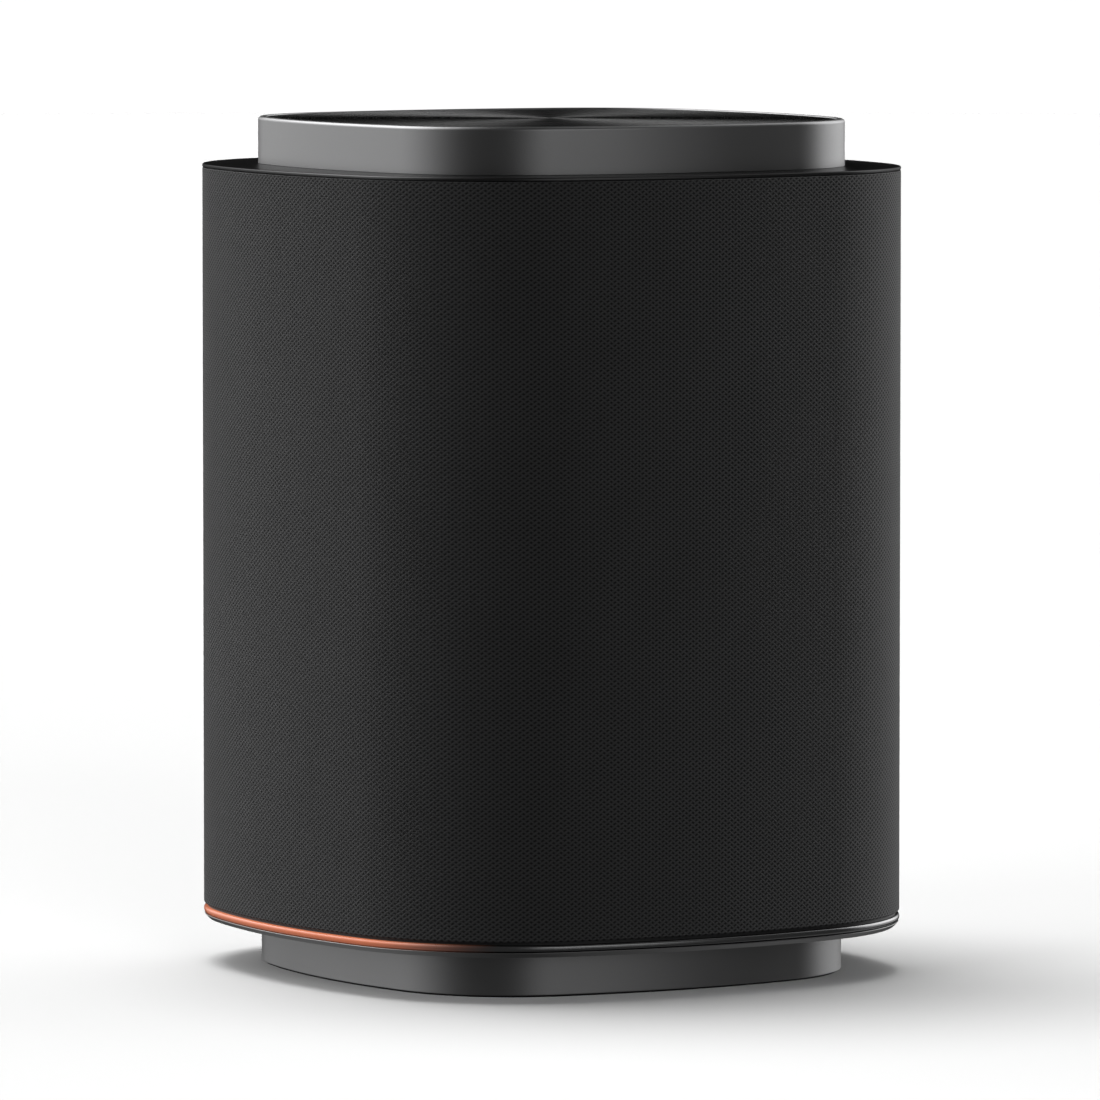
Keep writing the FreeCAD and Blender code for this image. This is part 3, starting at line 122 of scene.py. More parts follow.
class Ray:
    """A station of the outline: its arc's centre and radius, the way out, the distance round."""

    def __init__(self, centre, radius, angle, distance):
        self.centre = centre
        self.radius = radius
        self.out = Vector((math.cos(angle), math.sin(angle), 0))
        self.distance = distance

    def point(self, inset, level):
        return self.centre + self.out * (self.radius - inset) + Vector((0, 0, level))

    def bearing(self):
        """Angle of the station seen from the axis, measured from the front."""
        spot = self.point(0, 0)
        return math.atan2(spot.x, -spot.y)


def heading(angle):
    return Vector((math.cos(angle), math.sin(angle), 0))


def outline_rays():
    """Stations once round the outline, anticlockwise from the middle of the back."""
    arcs = []
    for quarter in range(4):
        middle = math.radians(90 + 90 * quarter)
        following = middle + math.radians(90)
        corner = heading(middle + math.radians(45)) * CORNER_CENTRE * math.sqrt(2)
        arcs.append((-heading(middle) * SIDE_CENTRE, SIDE_RADIUS, middle, SIDE_SWEEP,
                     HALF_SIDE_STEPS))
        arcs.append((corner, CORNER_RADIUS, middle + SIDE_SWEEP,
                     math.radians(90) - 2 * SIDE_SWEEP, CORNER_STEPS))
        arcs.append((-heading(following) * SIDE_CENTRE, SIDE_RADIUS, following - SIDE_SWEEP,
                     SIDE_SWEEP, HALF_SIDE_STEPS))
    rays = []
    distance = 0.0
    for centre, radius, start, turn, steps in arcs:
        for step in range(steps):
            done = turn * step / steps
            rays.append(Ray(centre, radius, start + done, distance + radius * done))
        distance += radius * turn
    centre, radius, start, turn, _ = arcs[-1]
    rays.append(Ray(centre, radius, start + turn, distance))
    return rays


RAYS = outline_rays()
PERIMETER = RAYS[-1].distance


def rounded(corners):
    """Points of a closed profile, each with its normal, from (inset, level, radius) corners.

    The corners run anticlockwise when outwards is to the right.
    """
    points = []
    for i, (inset, level, radius) in enumerate(corners):
        before, after = corners[i - 1], corners[(i + 1) % len(corners)]
        corner = Vector((-inset, level))
        arriving = (corner - Vector((-before[0], before[1]))).normalized()
        leaving = (Vector((-after[0], after[1])) - corner).normalized()
        turn = math.atan2(arriving.cross(leaving), arriving.dot(leaving))
        side = math.copysign(1, turn)
        centre = corner + (leaving - arriving).normalized() * (radius / math.cos(turn / 2))
        start = math.atan2(-arriving.x, arriving.y)
        steps = max(3, math.ceil(abs(turn) / PROFILE_STEP))
        for step in range(steps + 1):
            angle = start + turn * step / steps
            normal = Vector((math.cos(angle), math.sin(angle)))
            spot = centre + normal * (side * radius)
            points.append((-spot.x, spot.y, normal))
    return points


def with_levels(profile, levels):
    """The profile with a point added wherever one of its upright walls crosses a level."""
    points = []
    for i, here in enumerate(profile):
        points.append(here)
        there = profile[(i + 1) % len(profile)]
        if abs(here[0] - there[0]) > HAIR:
            continue
        crossed = [z for z in levels if min(here[1], there[1]) < z < max(here[1], there[1])]
        for z in sorted(crossed, reverse=here[1] > there[1]):
            points.append((here[0], z, here[2]))
    return points


class Shape:
    """Faces gathered for one mesh, each corner with its own normal and UV in metres."""

    def __init__(self):
        self.vertices = []
        self.faces = []
        self.normals = []
        self.uvs = []
        self.finishes = []
        self.finish = 0

    def face(self, corners, normals, uvs):
        self.faces.append(corners)
        self.finishes.append(self.finish)
        self.normals += normals
        self.uvs += uvs

    def flat_face(self, corners):
        spots = [self.vertices[c] for c in corners]
        normal = (spots[1] - spots[0]).cross(spots[2] - spots[1]).normalized()
        self.face(corners, [normal] * len(corners), [(s.x + s.y, s.z) for s in spots])

    def sweep(self, profile, rays=RAYS, gap=None):
        """Adds a ring, or a sector of one.  gap(r, p) is true for a face to leave out."""
        first = len(self.vertices)
        count = len(profile)
        along = [0.0]
        for i in range(count):
            here, there = profile[i], profile[(i + 1) % count]
            along.append(along[-1] + math.hypot(there[0] - here[0], there[1] - here[1]))
        whole = rays is RAYS
        stations = rays[:-1] if whole else rays
        for ray in stations:
            self.vertices += [ray.point(inset, level) for inset, level, _ in profile]
        bent = [[ray.out * normal.x + Vector((0, 0, normal.y)) for _, _, normal in profile]
                for ray in stations]
        for r in range(len(rays) - 1):
            s = (r + 1) % len(stations)
            u0, u1 = rays[r].distance, rays[r + 1].distance
            for p in range(count):
                if gap and gap(r, p):
                    continue
                q = (p + 1) % count
                at = [(r, p), (s, p), (s, q), (r, q)]
                self.face([first + a * count + b for a, b in at], [bent[a][b] for a, b in at],
                          [(u0, along[p]), (u1, along[p]), (u1, along[p + 1]),
                           (u0, along[p + 1])])
        if not whole:
            self.flat_face([first + p for p in range(count)])
            last = first + (len(stations) - 1) * count
            self.flat_face([last + p for p in reversed(range(count))])

    def make(self, name, materials, *replaced, slot):
        """The mesh object, riding on the case in place of the CAD nodes it stands for."""
        mesh = bpy.data.meshes.new(name)
        mesh.from_pydata(self.vertices, [], self.faces)
        layer = mesh.uv_layers.new(name="metres")
        layer.data.foreach_set("uv", [value for pair in self.uvs for value in pair])
        mesh.shade_smooth()
        mesh.normals_split_custom_set(self.normals)
        for material in materials:
            mesh.materials.append(material)
        mesh.polygons.foreach_set("material_index", self.finishes)
        piece = place_object(name, mesh)
        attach(piece, CASE)
        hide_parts(*replaced)
        return piece


def levels_of(node):
    low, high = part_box(node)
    return low.z, high.z


# ---------------------------------------------------------------------------------- materials


# Sockets of a Mix node that mixes colours.
COLOUR_A = 6
COLOUR_B = 7
COLOUR_OUT = 2


class Nodes:
    """Short calls for building a node tree."""

    def __init__(self, owner):
        owner.use_nodes = True
        self.tree = owner.node_tree

    def node(self, kind, **settings):
        made = self.tree.nodes.new("ShaderNode" + kind)
        for key, value in settings.items():
            setattr(made, key, value)
        return made

    def link(self, output, target):
        self.tree.links.new(output, target)

    def put(self, socket, value):
        if isinstance(value, bpy.types.NodeSocket):
            self.link(value, socket)
        else:
            socket.default_value = value

    def math(self, operation, a, b=0.0):
        made = self.node("Math", operation=operation)
        self.put(made.inputs[0], a)
        self.put(made.inputs[1], b)
        return made.outputs[0]

    def ramp(self, value, low, high, out_low=0.0, out_high=1.0, kind="SMOOTHSTEP"):
        made = self.node("MapRange", interpolation_type=kind)
        for i, number in enumerate((value, low, high, out_low, out_high)):
            self.put(made.inputs[i], number)
        return made.outputs[0]

    def mix(self, share, a, b, blend="MIX"):
        made = self.node("Mix", data_type="RGBA", blend_type=blend)
        self.put(made.inputs["Factor"], share)
        self.put(made.inputs[COLOUR_A], a)
        self.put(made.inputs[COLOUR_B], b)
        return made.outputs[COLOUR_OUT]

    def place(self):
        """The object's own coordinates, in metres."""
        return self.node("TexCoord").outputs["Object"]

    def noise(self, scale, detail=2.0, rough=0.5):
        made = self.node("TexNoise")
        self.link(self.place(), made.inputs["Vector"])
        made.inputs["Scale"].default_value = scale
        made.inputs["Detail"].default_value = detail
        made.inputs["Roughness"].default_value = rough
        return made.outputs["Fac"]

    def about(self, middle, spread, noise):
        """A value that a noise, which keeps mostly to 0.3 to 0.7, moves about a middle one."""
        return self.ramp(noise, 0.3, 0.7, middle - spread, middle + spread, "LINEAR")

    def split(self, vector):
        made = self.node("SeparateXYZ")
        self.link(vector, made.inputs[0])
        return made.outputs


class Finish(Nodes):
    """The node tree of a new material."""

    def __init__(self, name):
        self.material = bpy.data.materials.new(name)
        super().__init__(self.material)
        self.shader = self.tree.nodes["Principled BSDF"]

    def set(self, **values):
        """Sets or links sockets of the shader, named with underscores for spaces."""
        for key, value in values.items():
            self.put(self.shader.inputs[key.replace("_", " ")], value)

    def bump(self, level, depth):
        made = self.node("Bump")
        made.inputs["Distance"].default_value = depth
        self.link(level, made.inputs["Height"])
        self.link(made.outputs[0], self.shader.inputs["Normal"])


def grey(value, tint=(1, 1, 1)):
    return (value * tint[0], value * tint[1], value * tint[2], 1)


# The knit's relief: how high the yarns that fall and rise to the right stand, how far each goes
# over and under the other, the height of the fibres and of the cloth beside the seam, half the
# width of the seam's bottom, and the depth of it all.
FALLING_HEIGHT = 0.70
RISING_HEIGHT = 0.88
CROSSING = 0.22
FIBRE_HEIGHT = 0.18
SEAM_HEIGHT = 2.5
SEAM_BOTTOM = 0.1 * MM
KNIT_RELIEF = 0.075 * MM
FIBRE_SCALE = 5200
PATCH_SCALE = 70

# Its look: holes and yarns, the heights at which one turns into the other, and how much the
# fibres, the patches and the seam lighten or darken them.
HOLE_COLOUR = grey(0.018)
YARN_COLOUR = grey(0.068, (1, 1, 1.02))
HOLE_TO_YARN = (0.12, 0.75)
HOLE_ROUGH = 0.95
YARN_ROUGH = 0.62
FIBRE_SHADES = (0.8, 1.2)
PATCH_SPREAD = 0.04
SEAM_SHADE = 0.5


def yarn_relief(n, u, v):
    """Two slanting sets of yarns that cross round open holes."""
    wale = n.math("MULTIPLY", u, WALES / PERIMETER)
    course = n.math("MULTIPLY", v, 1 / COURSE)
    falling = n.math("ADD", wale, course)
    rising = n.math("SUBTRACT", wale, course)
    both = n.math("ADD", falling, rising)
    over = n.math("MULTIPLY", n.math("COSINE", n.math("MULTIPLY", both, math.pi)), CROSSING)
    under = n.math("MULTIPLY", over, -1.0)
    ridges = []
    for slant, lift, height in ((falling, over, FALLING_HEIGHT), (rising, under, RISING_HEIGHT)):
        wave = n.math("COSINE", n.math("MULTIPLY", slant, 2 * math.pi))
        ridge = n.math("MULTIPLY_ADD", wave, -0.5)
        ridge.node.inputs[2].default_value = 0.5
        ridges.append(n.math("MULTIPLY", ridge, n.math("ADD", lift, height)))
    return n.math("MAXIMUM", *ridges)


def knit_material():
    """Black acoustic knit with a seam at the back."""
    n = Finish("acoustic_knit")
    u, v, _ = n.split(n.node("UVMap", uv_map="metres").outputs[0])
    weave = yarn_relief(n, u, v)
    fibre = n.noise(FIBRE_SCALE, detail=3)
    patch = n.noise(PATCH_SCALE, detail=3)
    aside = n.math("MINIMUM", u, n.math("SUBTRACT", PERIMETER, u))
    seam = n.ramp(aside, SEAM_BOTTOM, SEAM_HALF)
    level = n.math("ADD", weave, n.math("MULTIPLY", fibre, FIBRE_HEIGHT))
    level = n.math("ADD", level, n.math("MULTIPLY", seam, SEAM_HEIGHT))
    yarn = n.ramp(weave, *HOLE_TO_YARN)
    shade = n.math("MULTIPLY", n.about(1.0, PATCH_SPREAD, patch),
                   n.ramp(fibre, 0.25, 0.75, *FIBRE_SHADES, "LINEAR"))
    shade = n.math("MULTIPLY", shade, n.ramp(seam, 0, 1, SEAM_SHADE, 1, "LINEAR"))
    colour = n.mix(yarn, HOLE_COLOUR, YARN_COLOUR)
    n.set(Base_Color=n.mix(1.0, colour, shade, blend="MULTIPLY"))
    n.set(Roughness=n.ramp(yarn, 0, 1, HOLE_ROUGH, YARN_ROUGH, "LINEAR"))
    n.set(Specular_IOR_Level=0.20, Sheen_Weight=0.05, Sheen_Roughness=0.45)
    n.bump(level, KNIT_RELIEF)
    return n.material


# Metals: how bright and how rough they are, their faint tint, and how far tone and gloss drift.
GUNMETAL = 0.33
GUNMETAL_ROUGH = 0.36
BEAD = 0.31
BEAD_ROUGH = 0.20
BLACK_ANODISED = 0.09
BLACK_ROUGH = 0.30
BLACK_GRAZING = 0.4
METAL_TINT = (1, 1, 1.01)
TONE_SPREAD = 0.04
ROUGH_SPREAD = 0.02
DRIFT_SCALE = 35

# The grain of blasted metal and the turning marks of the spun disc.
BLAST_SCALE = 2600
BLAST_GLOSS = 0.025
BLAST_GRAIN = 0.012 * MM
SPUN_DARK = grey(0.17)
SPUN_LIGHT = grey(0.27)
SPUN_ROUGH = 0.26
SPUN_ROUGH_SPREAD = 0.04
SPUN_STRETCH = 0.90
FINE_MARKS = 4200
BROAD_MARKS = 420
FINE_SHARE = 0.6
POLISHED_GRAIN = 0.002 * MM


def anodised(name, base, rough, grazing=1.0):
    """Bead-blasted and anodised aluminium: a fine grain and slow drifts of gloss.

    grazing is how much of a bare metal's shine is left where it is seen edge on.
    """
    n = Finish(name)
    fine = n.noise(BLAST_SCALE, detail=2)
    drift = n.noise(DRIFT_SCALE, detail=3)
    dark = grey(base * (1 - TONE_SPREAD), METAL_TINT)
    light = grey(base * (1 + TONE_SPREAD), METAL_TINT)
    n.set(Metallic=1.0, Base_Color=n.mix(drift, dark, light))
    gloss = n.math("ADD", n.about(0.0, BLAST_GLOSS, fine), n.about(rough, ROUGH_SPREAD, drift))
    n.set(Roughness=gloss, Specular_Tint=grey(grazing))
    n.bump(fine, BLAST_GRAIN)
    return n.material


def ring_marks(n, radius, scale):
    """Noise that changes only with the distance from the axis."""
    marks = n.node("TexNoise", noise_dimensions="1D")
    n.link(radius, marks.inputs["W"])
    marks.inputs["Scale"].default_value = scale
    marks.inputs["Detail"].default_value = 2
    return marks.outputs[0]


def spun_metal():
    """Disc with a circular spun finish: fine turning marks round the axis."""
    n = Finish("spun_disc")
    x, y, _ = n.split(n.place())
    radius = n.math("SQRT", n.math("ADD", n.math("MULTIPLY", x, x), n.math("MULTIPLY", y, y)))
    mark = n.math("ADD", n.math("MULTIPLY", ring_marks(n, radius, FINE_MARKS), FINE_SHARE),
                  n.math("MULTIPLY", ring_marks(n, radius, BROAD_MARKS), 1 - FINE_SHARE))
    n.set(Metallic=1.0, Base_Color=n.mix(mark, SPUN_DARK, SPUN_LIGHT))
    n.set(Roughness=n.about(SPUN_ROUGH, SPUN_ROUGH_SPREAD, mark), Anisotropic=SPUN_STRETCH)
    tangent = n.node("Tangent", direction_type="RADIAL", axis="Z")
    n.link(tangent.outputs[0], n.shader.inputs["Tangent"])
    n.bump(mark, POLISHED_GRAIN)
    return n.material


# The light: how far to the side it starts and ends fading, its colours, and how brightly it
# glows at its lower edge, dimmed there as painted shade of the round bead, in the middle, and
# how much more at its crest, which is a painted highlight.
FADE_START = CORNER_CENTRE * 1.37
FADE_END = 65 * MM
LIGHT_BODY = (0.45, 0.13, 0.07, 1)
GLOW_DIM = (0.64, 0.15, 0.055, 1)
GLOW_AND_HIGHLIGHT = (0.68, 0.21, 0.10, 1)
LIGHT_STRENGTH = 0.95
SHADED_EDGE_GLOW = 0.22
MIDDLE_GLOW = 0.40
CREST_PAINTED_HIGHLIGHT = 0.35
LIGHT_GRAIN_SCALE = 900
LIGHT_ROUGH_SPREAD = 0.03


def light_material():
    """Diffuser that glows orange along the front, with painted shade low and a painted highlight
    at its crest, and fades into bare metal round the corners.
    """
    n = Finish("light_diffuser")
    x, _, z = n.split(n.place())
    lit = n.ramp(n.math("ABSOLUTE", x), FADE_START, FADE_END, 1.0, 0.0)
    low, high = levels_of("light_guide")
    rise = n.ramp(z, low, high, kind="LINEAR")
    # The dimmer glow at the lower edge is painted shade of the bead; the extra glow at the crest
    # is a painted highlight.
    shaded_glow = n.math("ADD", n.ramp(rise, 0.0, 0.3, SHADED_EDGE_GLOW, MIDDLE_GLOW),
                  n.ramp(rise, 0.45, 0.75, 0.0, CREST_PAINTED_HIGHLIGHT))
    drift = n.noise(LIGHT_GRAIN_SCALE, detail=2)
    n.set(Base_Color=n.mix(lit, grey(BEAD), LIGHT_BODY))
    n.set(Metallic=n.math("SUBTRACT", 1.0, lit))
    n.set(Roughness=n.about(BEAD_ROUGH, LIGHT_ROUGH_SPREAD, drift))
    # The glow turns whiter towards the crest, as part of the painted highlight.
    n.set(Emission_Color=n.mix(shaded_glow, GLOW_DIM, GLOW_AND_HIGHLIGHT))
    n.set(Emission_Strength=n.math("MULTIPLY", n.math("MULTIPLY", lit, shaded_glow), LIGHT_STRENGTH))
    n.bump(drift, POLISHED_GRAIN)
    return n.material


# How far mouldings vary in colour and gloss, and how many grains wide their mottling is.
MOTTLE = 0.08
MOTTLE_SIZE = 30
MOULDED_ROUGH_SPREAD = 0.05


def moulded(name, colour, rough, grain, scale, metal):
    """Moulded, cast or coated surface: grain, slight mottling and uneven gloss."""
    n = Finish(name)
    fine = n.noise(scale, detail=3)
    drift = n.noise(scale / MOTTLE_SIZE, detail=2)
    dark = tuple(c * (1 - MOTTLE) for c in colour) + (1,)
    light = tuple(min(1, c * (1 + MOTTLE)) for c in colour) + (1,)
    n.set(Metallic=metal, Base_Color=n.mix(drift, dark, light))
    n.set(Roughness=n.about(rough, MOULDED_ROUGH_SPREAD, fine))
    n.bump(fine, grain)
    return n.material


# Fibrous surfaces: the cells' share in the relief, how dark its hollows are, and how much finer
# the fuzz is.
CELL_SHARE = 0.6
CELL_DARK = 0.6
FUZZ_FINENESS = 3


def fibrous(name, colour, rough, scale, grain):
    """Paper, wadding, foam or cloth: soft cells of light and dark with a rough relief."""
    n = Finish(name)
    cells = n.node("TexVoronoi")
    n.link(n.place(), cells.inputs["Vector"])
    cells.inputs["Scale"].default_value = scale
    fuzz = n.noise(scale * FUZZ_FINENESS, detail=4, rough=0.7)
    relief = n.math("ADD", n.math("MULTIPLY", cells.outputs["Distance"], CELL_SHARE), fuzz)
    dark = tuple(c * CELL_DARK for c in colour) + (1,)
    n.set(Base_Color=n.mix(n.ramp(relief, 0.4, 1.0), dark, tuple(colour) + (1,)))
    n.set(Roughness=rough, Sheen_Weight=0.2)
    n.bump(relief, grain)
    return n.material


# Finishes of the nodes that carry over from the CAD, by the record's material slot:
# colour, roughness, grain depth in mm, grain scale and metallic for moulded ones,
# and colour, roughness, cell scale and relief in mm for fibrous ones.
MOULDED = {
    "rubber_foot": ((0.012, 0.012, 0.012), 0.85, 0.03, 1500, 0.0),
    "inner_plastic": ((0.020, 0.020, 0.021), 0.48, 0.02, 1800, 0.0),
    "pressed_steel": ((0.055, 0.055, 0.057), 0.42, 0.01, 1200, 0.6),
    "ferrite": ((0.06, 0.058, 0.056), 0.62, 0.03, 900, 0.3),
    "coil_former": ((0.72, 0.55, 0.30), 0.40, 0.01, 1200, 0.0),
    "copper": ((0.72, 0.30, 0.16), 0.30, 0.02, 3000, 1.0),
    "soft_rubber": ((0.018, 0.018, 0.019), 0.60, 0.01, 1500, 0.0),
    "radiator_metal": ((0.30, 0.30, 0.31), 0.35, 0.01, 1600, 1.0),
    "circuit_board": ((0.012, 0.075, 0.040), 0.35, 0.01, 600, 0.0),
    "chip_plastic": ((0.015, 0.015, 0.016), 0.40, 0.01, 2500, 0.0),
    "can_metal": ((0.62, 0.63, 0.65), 0.28, 0.01, 1500, 1.0),
    "shield_metal": ((0.70, 0.70, 0.69), 0.25, 0.01, 1500, 1.0),
    "wire_sleeve": ((0.30, 0.015, 0.012), 0.45, 0.01, 1500, 0.0),
    "ribbon_film": ((0.42, 0.23, 0.06), 0.32, 0.01, 900, 0.0),
    "contact_metal": ((0.83, 0.80, 0.72), 0.22, 0.01, 2500, 1.0),
    "led_lens": ((0.80, 0.62, 0.30), 0.20, 0.01, 2500, 0.0),
    "screw_steel": ((0.35, 0.35, 0.36), 0.30, 0.01, 2500, 1.0),
}
FIBROUS = {
    "foam": ((0.05, 0.05, 0.052), 0.9, 700, 0.2),
    "wadding": ((0.75, 0.74, 0.70), 0.95, 400, 0.5),
    "cone_pulp": ((0.045, 0.045, 0.047), 0.8, 900, 0.05),
    "spider_cloth": ((0.55, 0.36, 0.12), 0.85, 1100, 0.1),
    "silk_dome": ((0.06, 0.06, 0.063), 0.6, 1500, 0.02),
}


def finish_nodes(materials):
    """Gives every CAD node the material of its slot."""
    for row in frame["record"]["subparts"]:
        mesh = frame["nodes"][row["node"]].data
        mesh.materials.clear()
        mesh.materials.append(materials[row["material_slot"]])


def all_materials():
    """A material for each slot of the record."""
    made = {
        "gunmetal": anodised("gunmetal", GUNMETAL, GUNMETAL_ROUGH),
        "black_anodised": anodised("black_anodised", BLACK_ANODISED, BLACK_ROUGH, BLACK_GRAZING),
        "spun_metal": spun_metal(),
        "acoustic_cloth": knit_material(),
        "light_bar": light_material(),
    }
    for slot, (colour, rough, grain, scale, metal) in MOULDED.items():
        made[slot] = moulded(slot, colour, rough, grain * MM, scale, metal)
    for slot, (colour, rough, scale, grain) in FIBROUS.items():
        made[slot] = fibrous(slot, colour, rough, scale, grain * MM)
    return made


# ------------------------------------------------------------------------------------ pieces


def make_cloth(material):
    """The knit sleeve, one continuous sheet with its edges turned in at the top and bottom."""
    low, high = levels_of("fabric_sleeve")
    turn = CLOTH_THICK / 2 - HAIR
    hem = low + CLOTH_LIFT
    top = high + CLOTH_LIFT
    shape = Shape()
    shape.sweep(rounded([(CLOTH_THICK, hem, turn), (0, hem, turn), (0, top, turn / 2),
                         (CLOTH_THICK, top, turn / 2)]))
    piece = shape.make("cloth_sleeve", [material], "fabric_sleeve", slot="acoustic_cloth")
    light_only(piece, CLOTH_LAMPS)


def in_light(ray):
    return abs(ray.bearing()) <= LIGHT_HALF_ANGLE


def sector(lit):
    """The run of stations that lies in the light's sector, or the run round the rest."""
    start = next(i for i, ray in enumerate(RAYS) if in_light(ray))
    end = max(i for i, ray in enumerate(RAYS) if in_light(ray))
    return RAYS[start:end + 1] if lit else RAYS[end:-1] + RAYS[:start + 1]


def bead_profile(low, high):
    return rounded([(LIGHT_DEPTH, low, HAIR), (0, low, BEAD_BELOW), (0, high, BEAD_ABOVE),
                    (LIGHT_DEPTH, high, HAIR)])


def make_trim_ring(matt, polished):
    """Ring under the cloth: a bevelled lower part and a round bead, with a groove between."""
    low, high = levels_of("bottom_trim_ring")
    bead_low, bead_high = levels_of("light_guide")
    step = bead_low - GROOVE
    shape = Shape()
    shape.sweep(rounded([(RING_WIDTH, low, HAIR), (BEVEL, low, BEVEL_FOOT),
                         (0, step, BEVEL_TOP), (LIGHT_DEPTH, step, HAIR),
                         (LIGHT_DEPTH, high, HAIR), (RING_WIDTH, high, HAIR)]))
    shape.finish = 1
    shape.sweep(bead_profile(bead_low, bead_high), sector(lit=False))
    shape.make("trim_ring", [matt, polished], "bottom_trim_ring", slot="gunmetal")


def make_light(material):
    """The lit part of the bead."""
    low, high = levels_of("light_guide")
    shape = Shape()
    shape.sweep(bead_profile(low, high), sector(lit=True))
    shape.make("light_bar", [material], "light_guide", slot="light_bar")


def make_deck(material):
    """Step between the cap and the cloth, with a spigot that sits in the skeleton."""
    low, high = levels_of("top_deck")
    seat = high - DECK_LIP
    shape = Shape()
    shape.sweep(rounded([(DECK_WIDTH, low, HAIR), (SKELETON_INNER, low, SPIGOT_FOOT),
                         (SKELETON_INNER, seat, HAIR), (0, seat, DECK_SEAT),
                         (0, high, DECK_RIM), (DECK_WIDTH, high, HAIR)]))
    shape.make("deck", [material], "top_deck", slot="black_anodised")


def make_cap(material):
    """Wall of the cap, rounded at its rim."""
    low, high = levels_of("top_cap_ring")
    inner = CAP_INSET + CAP_WALL
    shape = Shape()
    shape.sweep(rounded([(inner, low, HAIR), (CAP_INSET, low, CAP_FOOT),
                         (CAP_INSET, high, CAP_RIM), (inner, high, CAP_INNER_RIM)]))
    shape.make("cap_ring", [material], "top_cap_ring", slot="gunmetal")


def line_window(shape, profile, sill, lintel):
    """Closes the wall's thickness round the window, between its outer and inner faces."""
    spans = len(RAYS) - 1
    inner = PLINTH_INSET + PLINTH_WALL
    corner = {(round(inset / HAIR), round(level / HAIR)): p
              for p, (inset, level, _) in enumerate(profile)}

    def at(station, inset, level):
        place = corner[(round(inset / HAIR), round(level / HAIR))]
        return (station % spans) * len(profile) + place

    for r in range(-WINDOW_REACH, WINDOW_REACH):
        for level, order in ((sill, 1), (lintel, -1)):
            quad = [at(r, PLINTH_INSET, level), at(r + 1, PLINTH_INSET, level),
                    at(r + 1, inner, level), at(r, inner, level)]
            shape.flat_face(quad[::order])
    for station, order in ((-WINDOW_REACH, 1), (WINDOW_REACH, -1)):
        quad = [at(station, PLINTH_INSET, sill), at(station, inner, sill),
                at(station, inner, lintel), at(station, PLINTH_INSET, lintel)]
        shape.flat_face(quad[::order])


def make_plinth(material):
    """Narrow base, with a window in the middle of the back for the power inlet."""
    low, high = levels_of("base_plinth")
    sill, inlet_high = levels_of("power_inlet")
    lintel = inlet_high + INLET_GAP
    inner = PLINTH_INSET + PLINTH_WALL
    profile = with_levels(rounded([(inner, low, HAIR), (PLINTH_INSET, low, PLINTH_FOOT),
                                   (PLINTH_INSET, high, PLINTH_HEAD), (inner, high, HAIR)]),
                          (sill, lintel))
    spans = len(RAYS) - 1

    def in_window(r, p):
        following = profile[(p + 1) % len(profile)]
        middle = (profile[p][1] + following[1]) / 2
        upright = abs(profile[p][0] - following[0]) < HAIR and sill < middle < lintel
        return upright and (r < WINDOW_REACH or r >= spans - WINDOW_REACH)

    shape = Shape()
    shape.sweep(profile, gap=in_window)
    line_window(shape, profile, sill, lintel)
    shape.make("plinth", [material], "base_plinth", slot="gunmetal")


# ----------------------------------------------------------------------------- camera and light


# The camera: lens and sensor in mm, where it stands, and its tilt down and turn in degrees.
LENS = 352.35
SENSOR = 36
CAMERA_PLACE = (2.1745, -1.2706, 0.2844)
CAMERA_TILT = 4.238
CAMERA_TURN = 59.7037


def make_camera():
    """A long lens a little above the table, as far round as the near corner shows."""
    data = bpy.data.cameras.new("camera")
    data.lens = LENS
    data.sensor_width = SENSOR
    data.clip_start = 0.05
    data.clip_end = 200
    camera = place_object("camera", data)
    camera.location = CAMERA_PLACE
    camera.rotation_euler = (math.radians(90 - CAMERA_TILT), 0, math.radians(CAMERA_TURN))
    bpy.context.scene.camera = camera


# Soft boxes of the studio.  Azimuths are in degrees, levels are the sine of the height, and each
# edge is given as its middle and how far it fades either way.  The first is a faint fill from
# everywhere but behind the object as the camera sees it.  The flat tops mirror that black part.
SOFT_BOXES = [
    # from azimuth,  to azimuth,     from level,     to level,      brightness
    ((-178, 14), (124, 12), (-1.2, 0.1), (1.2, 0.1), 0.05),
    ((-187, 11), (-96.5, 32.5), (-0.06, 0.14), (0.80, 0.14), 1.22),
    ((-184, 12), (-115, 25), (0.32, 0.12), (0.92, 0.06), 2.35),
    ((-16, 9), (24, 9), (-0.06, 0.14), (0.50, 0.14), 0.60),
    ((79, 14), (130, 12), (-0.06, 0.14), (0.68, 0.14), 1.95),
    ((65, 20), (125, 15), (0.75, 0.10), (0.93, 0.06), 0.50),
    ((-200, 25), (-100, 25), (-0.90, 0.10), (-0.35, 0.12), 0.22),
    ((70, 20), (140, 20), (-0.90, 0.10), (-0.35, 0.12), 0.15),
]

# Broad, weak lamps that bring out the knit: azimuth, height and width in degrees, and energy.
CLOTH_LAMPS = [
    (84, 30, 50, 1.40),
    (-25, 30, 60, 0.12),
]

# Lamps that light only the floor: azimuth, height and width in degrees, and how bright the
# floor would be under each alone.
FLOOR_LAMPS = [
    (-172, 74, 38, 0.53),
    (115, 74, 38, 0.11),
    (-75, 14, 24, 0.06),
    (-15, 14, 24, 0.06),
]

# The floor and the backdrop: how much light the floor sends back, their sizes in metres, and
# how brightly the backdrop glows.
FLOOR_ALBEDO = 0.35
FLOOR_RADIUS = 6
FLOOR_SIDES = 120
BACKDROP_RADIUS = 40
BACKDROP_GLOW = 1.02


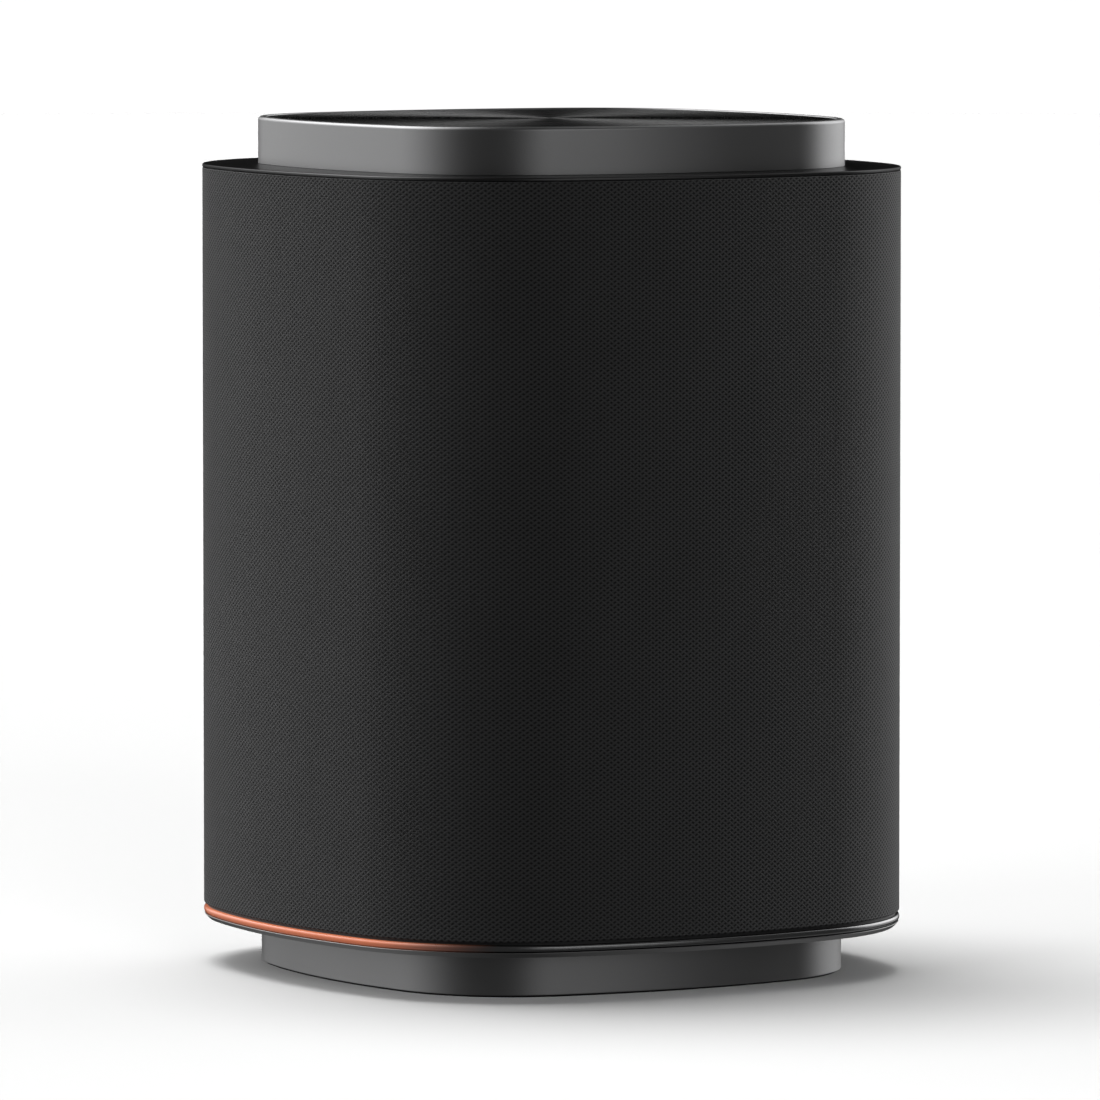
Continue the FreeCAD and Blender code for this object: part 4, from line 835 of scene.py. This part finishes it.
def soft_box(n, direction, start, end, bottom, top):
    """How much of one soft box shows in a direction, from 0 to 1."""
    x, y, z = direction

    def edge(value, middle, fade):
        return n.ramp(value, middle - fade, middle + fade)

    side = heading(math.radians((start[0] + end[0]) / 2))
    half = math.radians((start[0] - end[0]) / 2)
    along = n.math("ADD", n.math("MULTIPLY", x, side.x), n.math("MULTIPLY", y, side.y))
    across = n.math("SUBTRACT", n.math("MULTIPLY", y, side.x), n.math("MULTIPLY", x, side.y))
    turn = n.math("ARCTAN2", across, along)
    box = n.math("MULTIPLY", edge(turn, half, math.radians(start[1])),
                 edge(n.math("MULTIPLY", turn, -1.0), half, math.radians(end[1])))
    box = n.math("MULTIPLY", box, edge(z, *bottom))
    return n.math("MULTIPLY", box, edge(n.math("MULTIPLY", z, -1.0), -top[0], top[1]))


def make_studio():
    """Soft boxes painted on the sky round the object."""
    world = bpy.data.worlds.new("studio")
    bpy.context.scene.world = world
    n = Nodes(world)
    direction = n.split(n.node("TexCoord").outputs["Generated"])
    total = 0.0
    for *edges, brightness in SOFT_BOXES:
        box = soft_box(n, direction, *edges)
        total = n.math("ADD", n.math("MULTIPLY", box, brightness), total)
    background = n.tree.nodes["Background"]
    n.link(total, background.inputs["Strength"])
    background.inputs["Color"].default_value = (1, 1, 1, 1)


def light_only(piece, lamps):
    """Broad sun lamps for one piece alone: azimuth, height and width in degrees, and energy."""
    group = bpy.data.collections.new(piece.name + "_only")
    group.objects.link(piece)
    for azimuth, rise, width, energy in lamps:
        data = bpy.data.lights.new(piece.name + "_lamp", "SUN")
        data.angle = math.radians(width)
        data.energy = energy
        lamp = place_object(data.name, data)
        lamp.rotation_euler = (0, math.radians(90 - rise), math.radians(azimuth))
        lamp.light_linking.receiver_collection = group


def sun_energy(share, rise):
    """The energy with which a sun at this height shows the floor at this brightness."""
    return share * math.pi / (FLOOR_ALBEDO * math.sin(math.radians(rise)))


def make_floor():
    """Plain pale floor and a plain white backdrop, which the object doesn't mirror."""
    n = Finish("floor_paint")
    drift = n.noise(3, detail=1)
    n.set(Base_Color=n.mix(drift, grey(FLOOR_ALBEDO * 0.998), grey(FLOOR_ALBEDO)))
    n.set(Roughness=0.9, Specular_IOR_Level=0.0)
    floor = disc("floor", FLOOR_RADIUS, n.material)
    white = Finish("backdrop_white")
    white.set(Base_Color=grey(0), Emission_Color=grey(1), Emission_Strength=BACKDROP_GLOW)
    white.set(Specular_IOR_Level=0.0)
    backdrop = dome("backdrop", BACKDROP_RADIUS, white.material)
    for piece in (floor, backdrop):
        piece.visible_diffuse = False
        piece.visible_glossy = False
        piece.visible_transmission = False
        piece.visible_shadow = False
    light_only(floor, [(azimuth, rise, width, sun_energy(share, rise))
                       for azimuth, rise, width, share in FLOOR_LAMPS])


def stage_mesh(name, spots, faces, material):
    mesh = bpy.data.meshes.new(name)
    mesh.from_pydata(spots, [], faces)
    mesh.materials.append(material)
    return place_object(name, mesh)


def disc(name, radius, material):
    """A flat round floor at the level that the object stands on."""
    spots = [heading(math.radians(360 / FLOOR_SIDES * i)) * radius for i in range(FLOOR_SIDES)]
    return stage_mesh(name, spots, [tuple(range(FLOOR_SIDES))], material)


def dome(name, radius, material):
    """A sphere round the whole scene."""
    rings, spokes = 12, 36
    spots = [(0, 0, radius), (0, 0, -radius)]
    for ring in range(1, rings):
        tilt = math.pi * ring / rings
        for spoke in range(spokes):
            out = heading(2 * math.pi * spoke / spokes) * math.sin(tilt) * radius
            spots.append((out.x, out.y, math.cos(tilt) * radius))
    last = 2 + (rings - 2) * spokes
    faces = []
    for spoke in range(spokes):
        beside = (spoke + 1) % spokes
        faces.append((0, 2 + spoke, 2 + beside))
        faces.append((1, last + beside, last + spoke))
        for ring in range(rings - 2):
            row = 2 + ring * spokes
            faces.append((row + spoke, row + spokes + spoke, row + spokes + beside, row + beside))
    return stage_mesh(name, spots, faces, material)


# ------------------------------------------------------------------------------------- scene


make_camera()
materials = all_materials()
finish_nodes(materials)
make_cloth(materials["acoustic_cloth"])
make_trim_ring(materials["gunmetal"], anodised("polished_bead", BEAD, BEAD_ROUGH))
make_light(materials["light_bar"])
make_deck(materials["black_anodised"])
make_cap(materials["gunmetal"])
make_plinth(materials["gunmetal"])
make_studio()
make_floor()
bpy.context.scene.view_settings.view_transform = "Standard"
